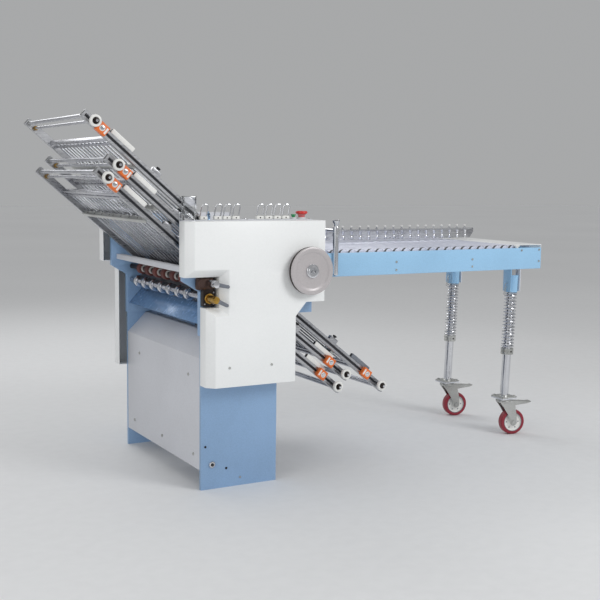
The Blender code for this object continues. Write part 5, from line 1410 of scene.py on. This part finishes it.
def lamp(name, place, aim_at, size, power):
    """A soft area lamp aimed at a point."""
    bpy.ops.object.light_add(type="AREA", location=place)
    made = bpy.context.object
    made.name = name
    made.data.size = size
    made.data.energy = power
    way = Vector(aim_at) - Vector(place)
    made.rotation_euler = way.to_track_quat("-Z", "Y").to_euler()
    return made


class FOLDER_OT_stage(bpy.types.Operator):
    """The pale floor, the soft studio light and the camera of the photograph"""

    bl_idname = "folder.stage"
    bl_label = "Stage"

    def execute(self, context):
        scene = context.scene
        bpy.ops.mesh.primitive_plane_add(size=60, location=(0, 0, 0))
        floor = bpy.context.object
        floor.name = "studio_floor"
        pale = finish("studio_floor", (0.80, 0.81, 0.82, 1), (0.76, 0.77, 0.78, 1), 0.7,
                      grain=3, bump=0.0)
        painted(floor, pale)
        world = bpy.data.worlds.new("soft_studio")
        scene.world = world
        world.use_nodes = True
        tree = world.node_tree
        link = tree.links.new
        soft = tree.nodes["Background"]
        soft.inputs["Color"].default_value = (1, 1, 1, 1)
        soft.inputs["Strength"].default_value = 0.50
        seen = tree.nodes.new("ShaderNodeBackground")
        seen.inputs["Color"].default_value = (0.390, 0.395, 0.399, 1)
        seen.inputs["Strength"].default_value = 1
        rays = tree.nodes.new("ShaderNodeLightPath")
        pick = tree.nodes.new("ShaderNodeMixShader")
        share = rays.outputs["Is Camera Ray"]
        for ray in ("Is Glossy Ray", "Is Transmission Ray"):
            either = tree.nodes.new("ShaderNodeMath")
            either.operation = "MAXIMUM"
            link(share, either.inputs[0])
            link(rays.outputs[ray], either.inputs[1])
            share = either.outputs[0]
        link(share, pick.inputs[0])
        link(soft.outputs[0], pick.inputs[1])
        link(seen.outputs[0], pick.inputs[2])
        link(pick.outputs[0], tree.nodes["World Output"].inputs[0])
        middle = (0, 0, 0.6)
        lamp("key_lamp", (1.6, -3.4, 2.7), middle, 1.6, 62)
        lamp("fill_lamp", (-3.0, -1.8, 1.6), middle, 2.2, 16)
        lamp("back_lamp", (-0.6, 2.8, 3.0), middle, 2.2, 34)

        yaw, pitch, roll = math.radians(29.4677), 0.1161, 0.0128
        right = Vector((math.cos(yaw), -math.sin(yaw), 0))
        ahead = Vector((math.sin(yaw) * math.cos(pitch), math.cos(yaw) * math.cos(pitch),
                        -math.sin(pitch)))
        up = right.cross(ahead)
        turn = Matrix((right, up, -ahead)).transposed().to_4x4()
        bpy.ops.object.camera_add()
        camera = bpy.context.object
        camera.name = "photograph_camera"
        camera.matrix_world = (Matrix.Translation(Vector((-1.3377, -2.997, 1.0)) + ORIGIN)
                               @ turn @ Matrix.Rotation(roll, 4, "Z"))
        camera.data.sensor_width = 36
        camera.data.lens = 62.957
        camera.data.clip_end = 100
        scene.camera = camera
        scene.view_settings.view_transform = "Standard"
        return {"FINISHED"}


STEPS = (FOLDER_OT_side_plates, FOLDER_OT_covers, FOLDER_OT_deck, FOLDER_OT_lift_loops,
         FOLDER_OT_buttons, FOLDER_OT_handwheel, FOLDER_OT_fold_rollers,
         FOLDER_OT_slitter_shafts, FOLDER_OT_clamp_levers, FOLDER_OT_exit_sheets,
         FOLDER_OT_motor, FOLDER_OT_buckle_plates, FOLDER_OT_plate_housings,
         FOLDER_OT_sheet_stops, FOLDER_OT_plate_knobs, FOLDER_OT_table, FOLDER_OT_bridge,
         FOLDER_OT_side_guide, FOLDER_OT_legs, FOLDER_OT_casters, FOLDER_OT_stage)


class FOLDER_PT_pieces(bpy.types.Panel):
    """The machine's sizes and colours, and its pieces in the order they are made"""

    bl_label = "Paper Folding Machine"
    bl_idname = "FOLDER_PT_pieces"
    bl_space_type = "VIEW_3D"
    bl_region_type = "UI"
    bl_category = "Folder"

    def draw(self, context):
        layout = self.layout
        for group in (context.scene.folder_sizes, context.scene.folder_colours):
            column = layout.column(align=True)
            for name in group.bl_rna.properties.keys():
                if name not in ("rna_type", "name"):
                    column.prop(group, name)
        column = layout.column(align=True)
        for step in STEPS:
            column.operator(step.bl_idname)


CLASSES = (FolderColours, FolderSizes) + STEPS + (FOLDER_PT_pieces,)


def register():
    """Add the classes and the panel's two groups of values to Blender."""
    for made in CLASSES:
        bpy.utils.register_class(made)
    bpy.types.Scene.folder_colours = bpy.props.PointerProperty(type=FolderColours)
    bpy.types.Scene.folder_sizes = bpy.props.PointerProperty(type=FolderSizes)


def unregister():
    """Take them out again."""
    del bpy.types.Scene.folder_sizes
    del bpy.types.Scene.folder_colours
    for made in reversed(CLASSES):
        bpy.utils.unregister_class(made)


def main():
    """Make every piece in order."""
    register()
    for step in STEPS:
        group, name = step.bl_idname.split(".")
        getattr(getattr(bpy.ops, group), name)()


if __name__ == "__main__":
    main()
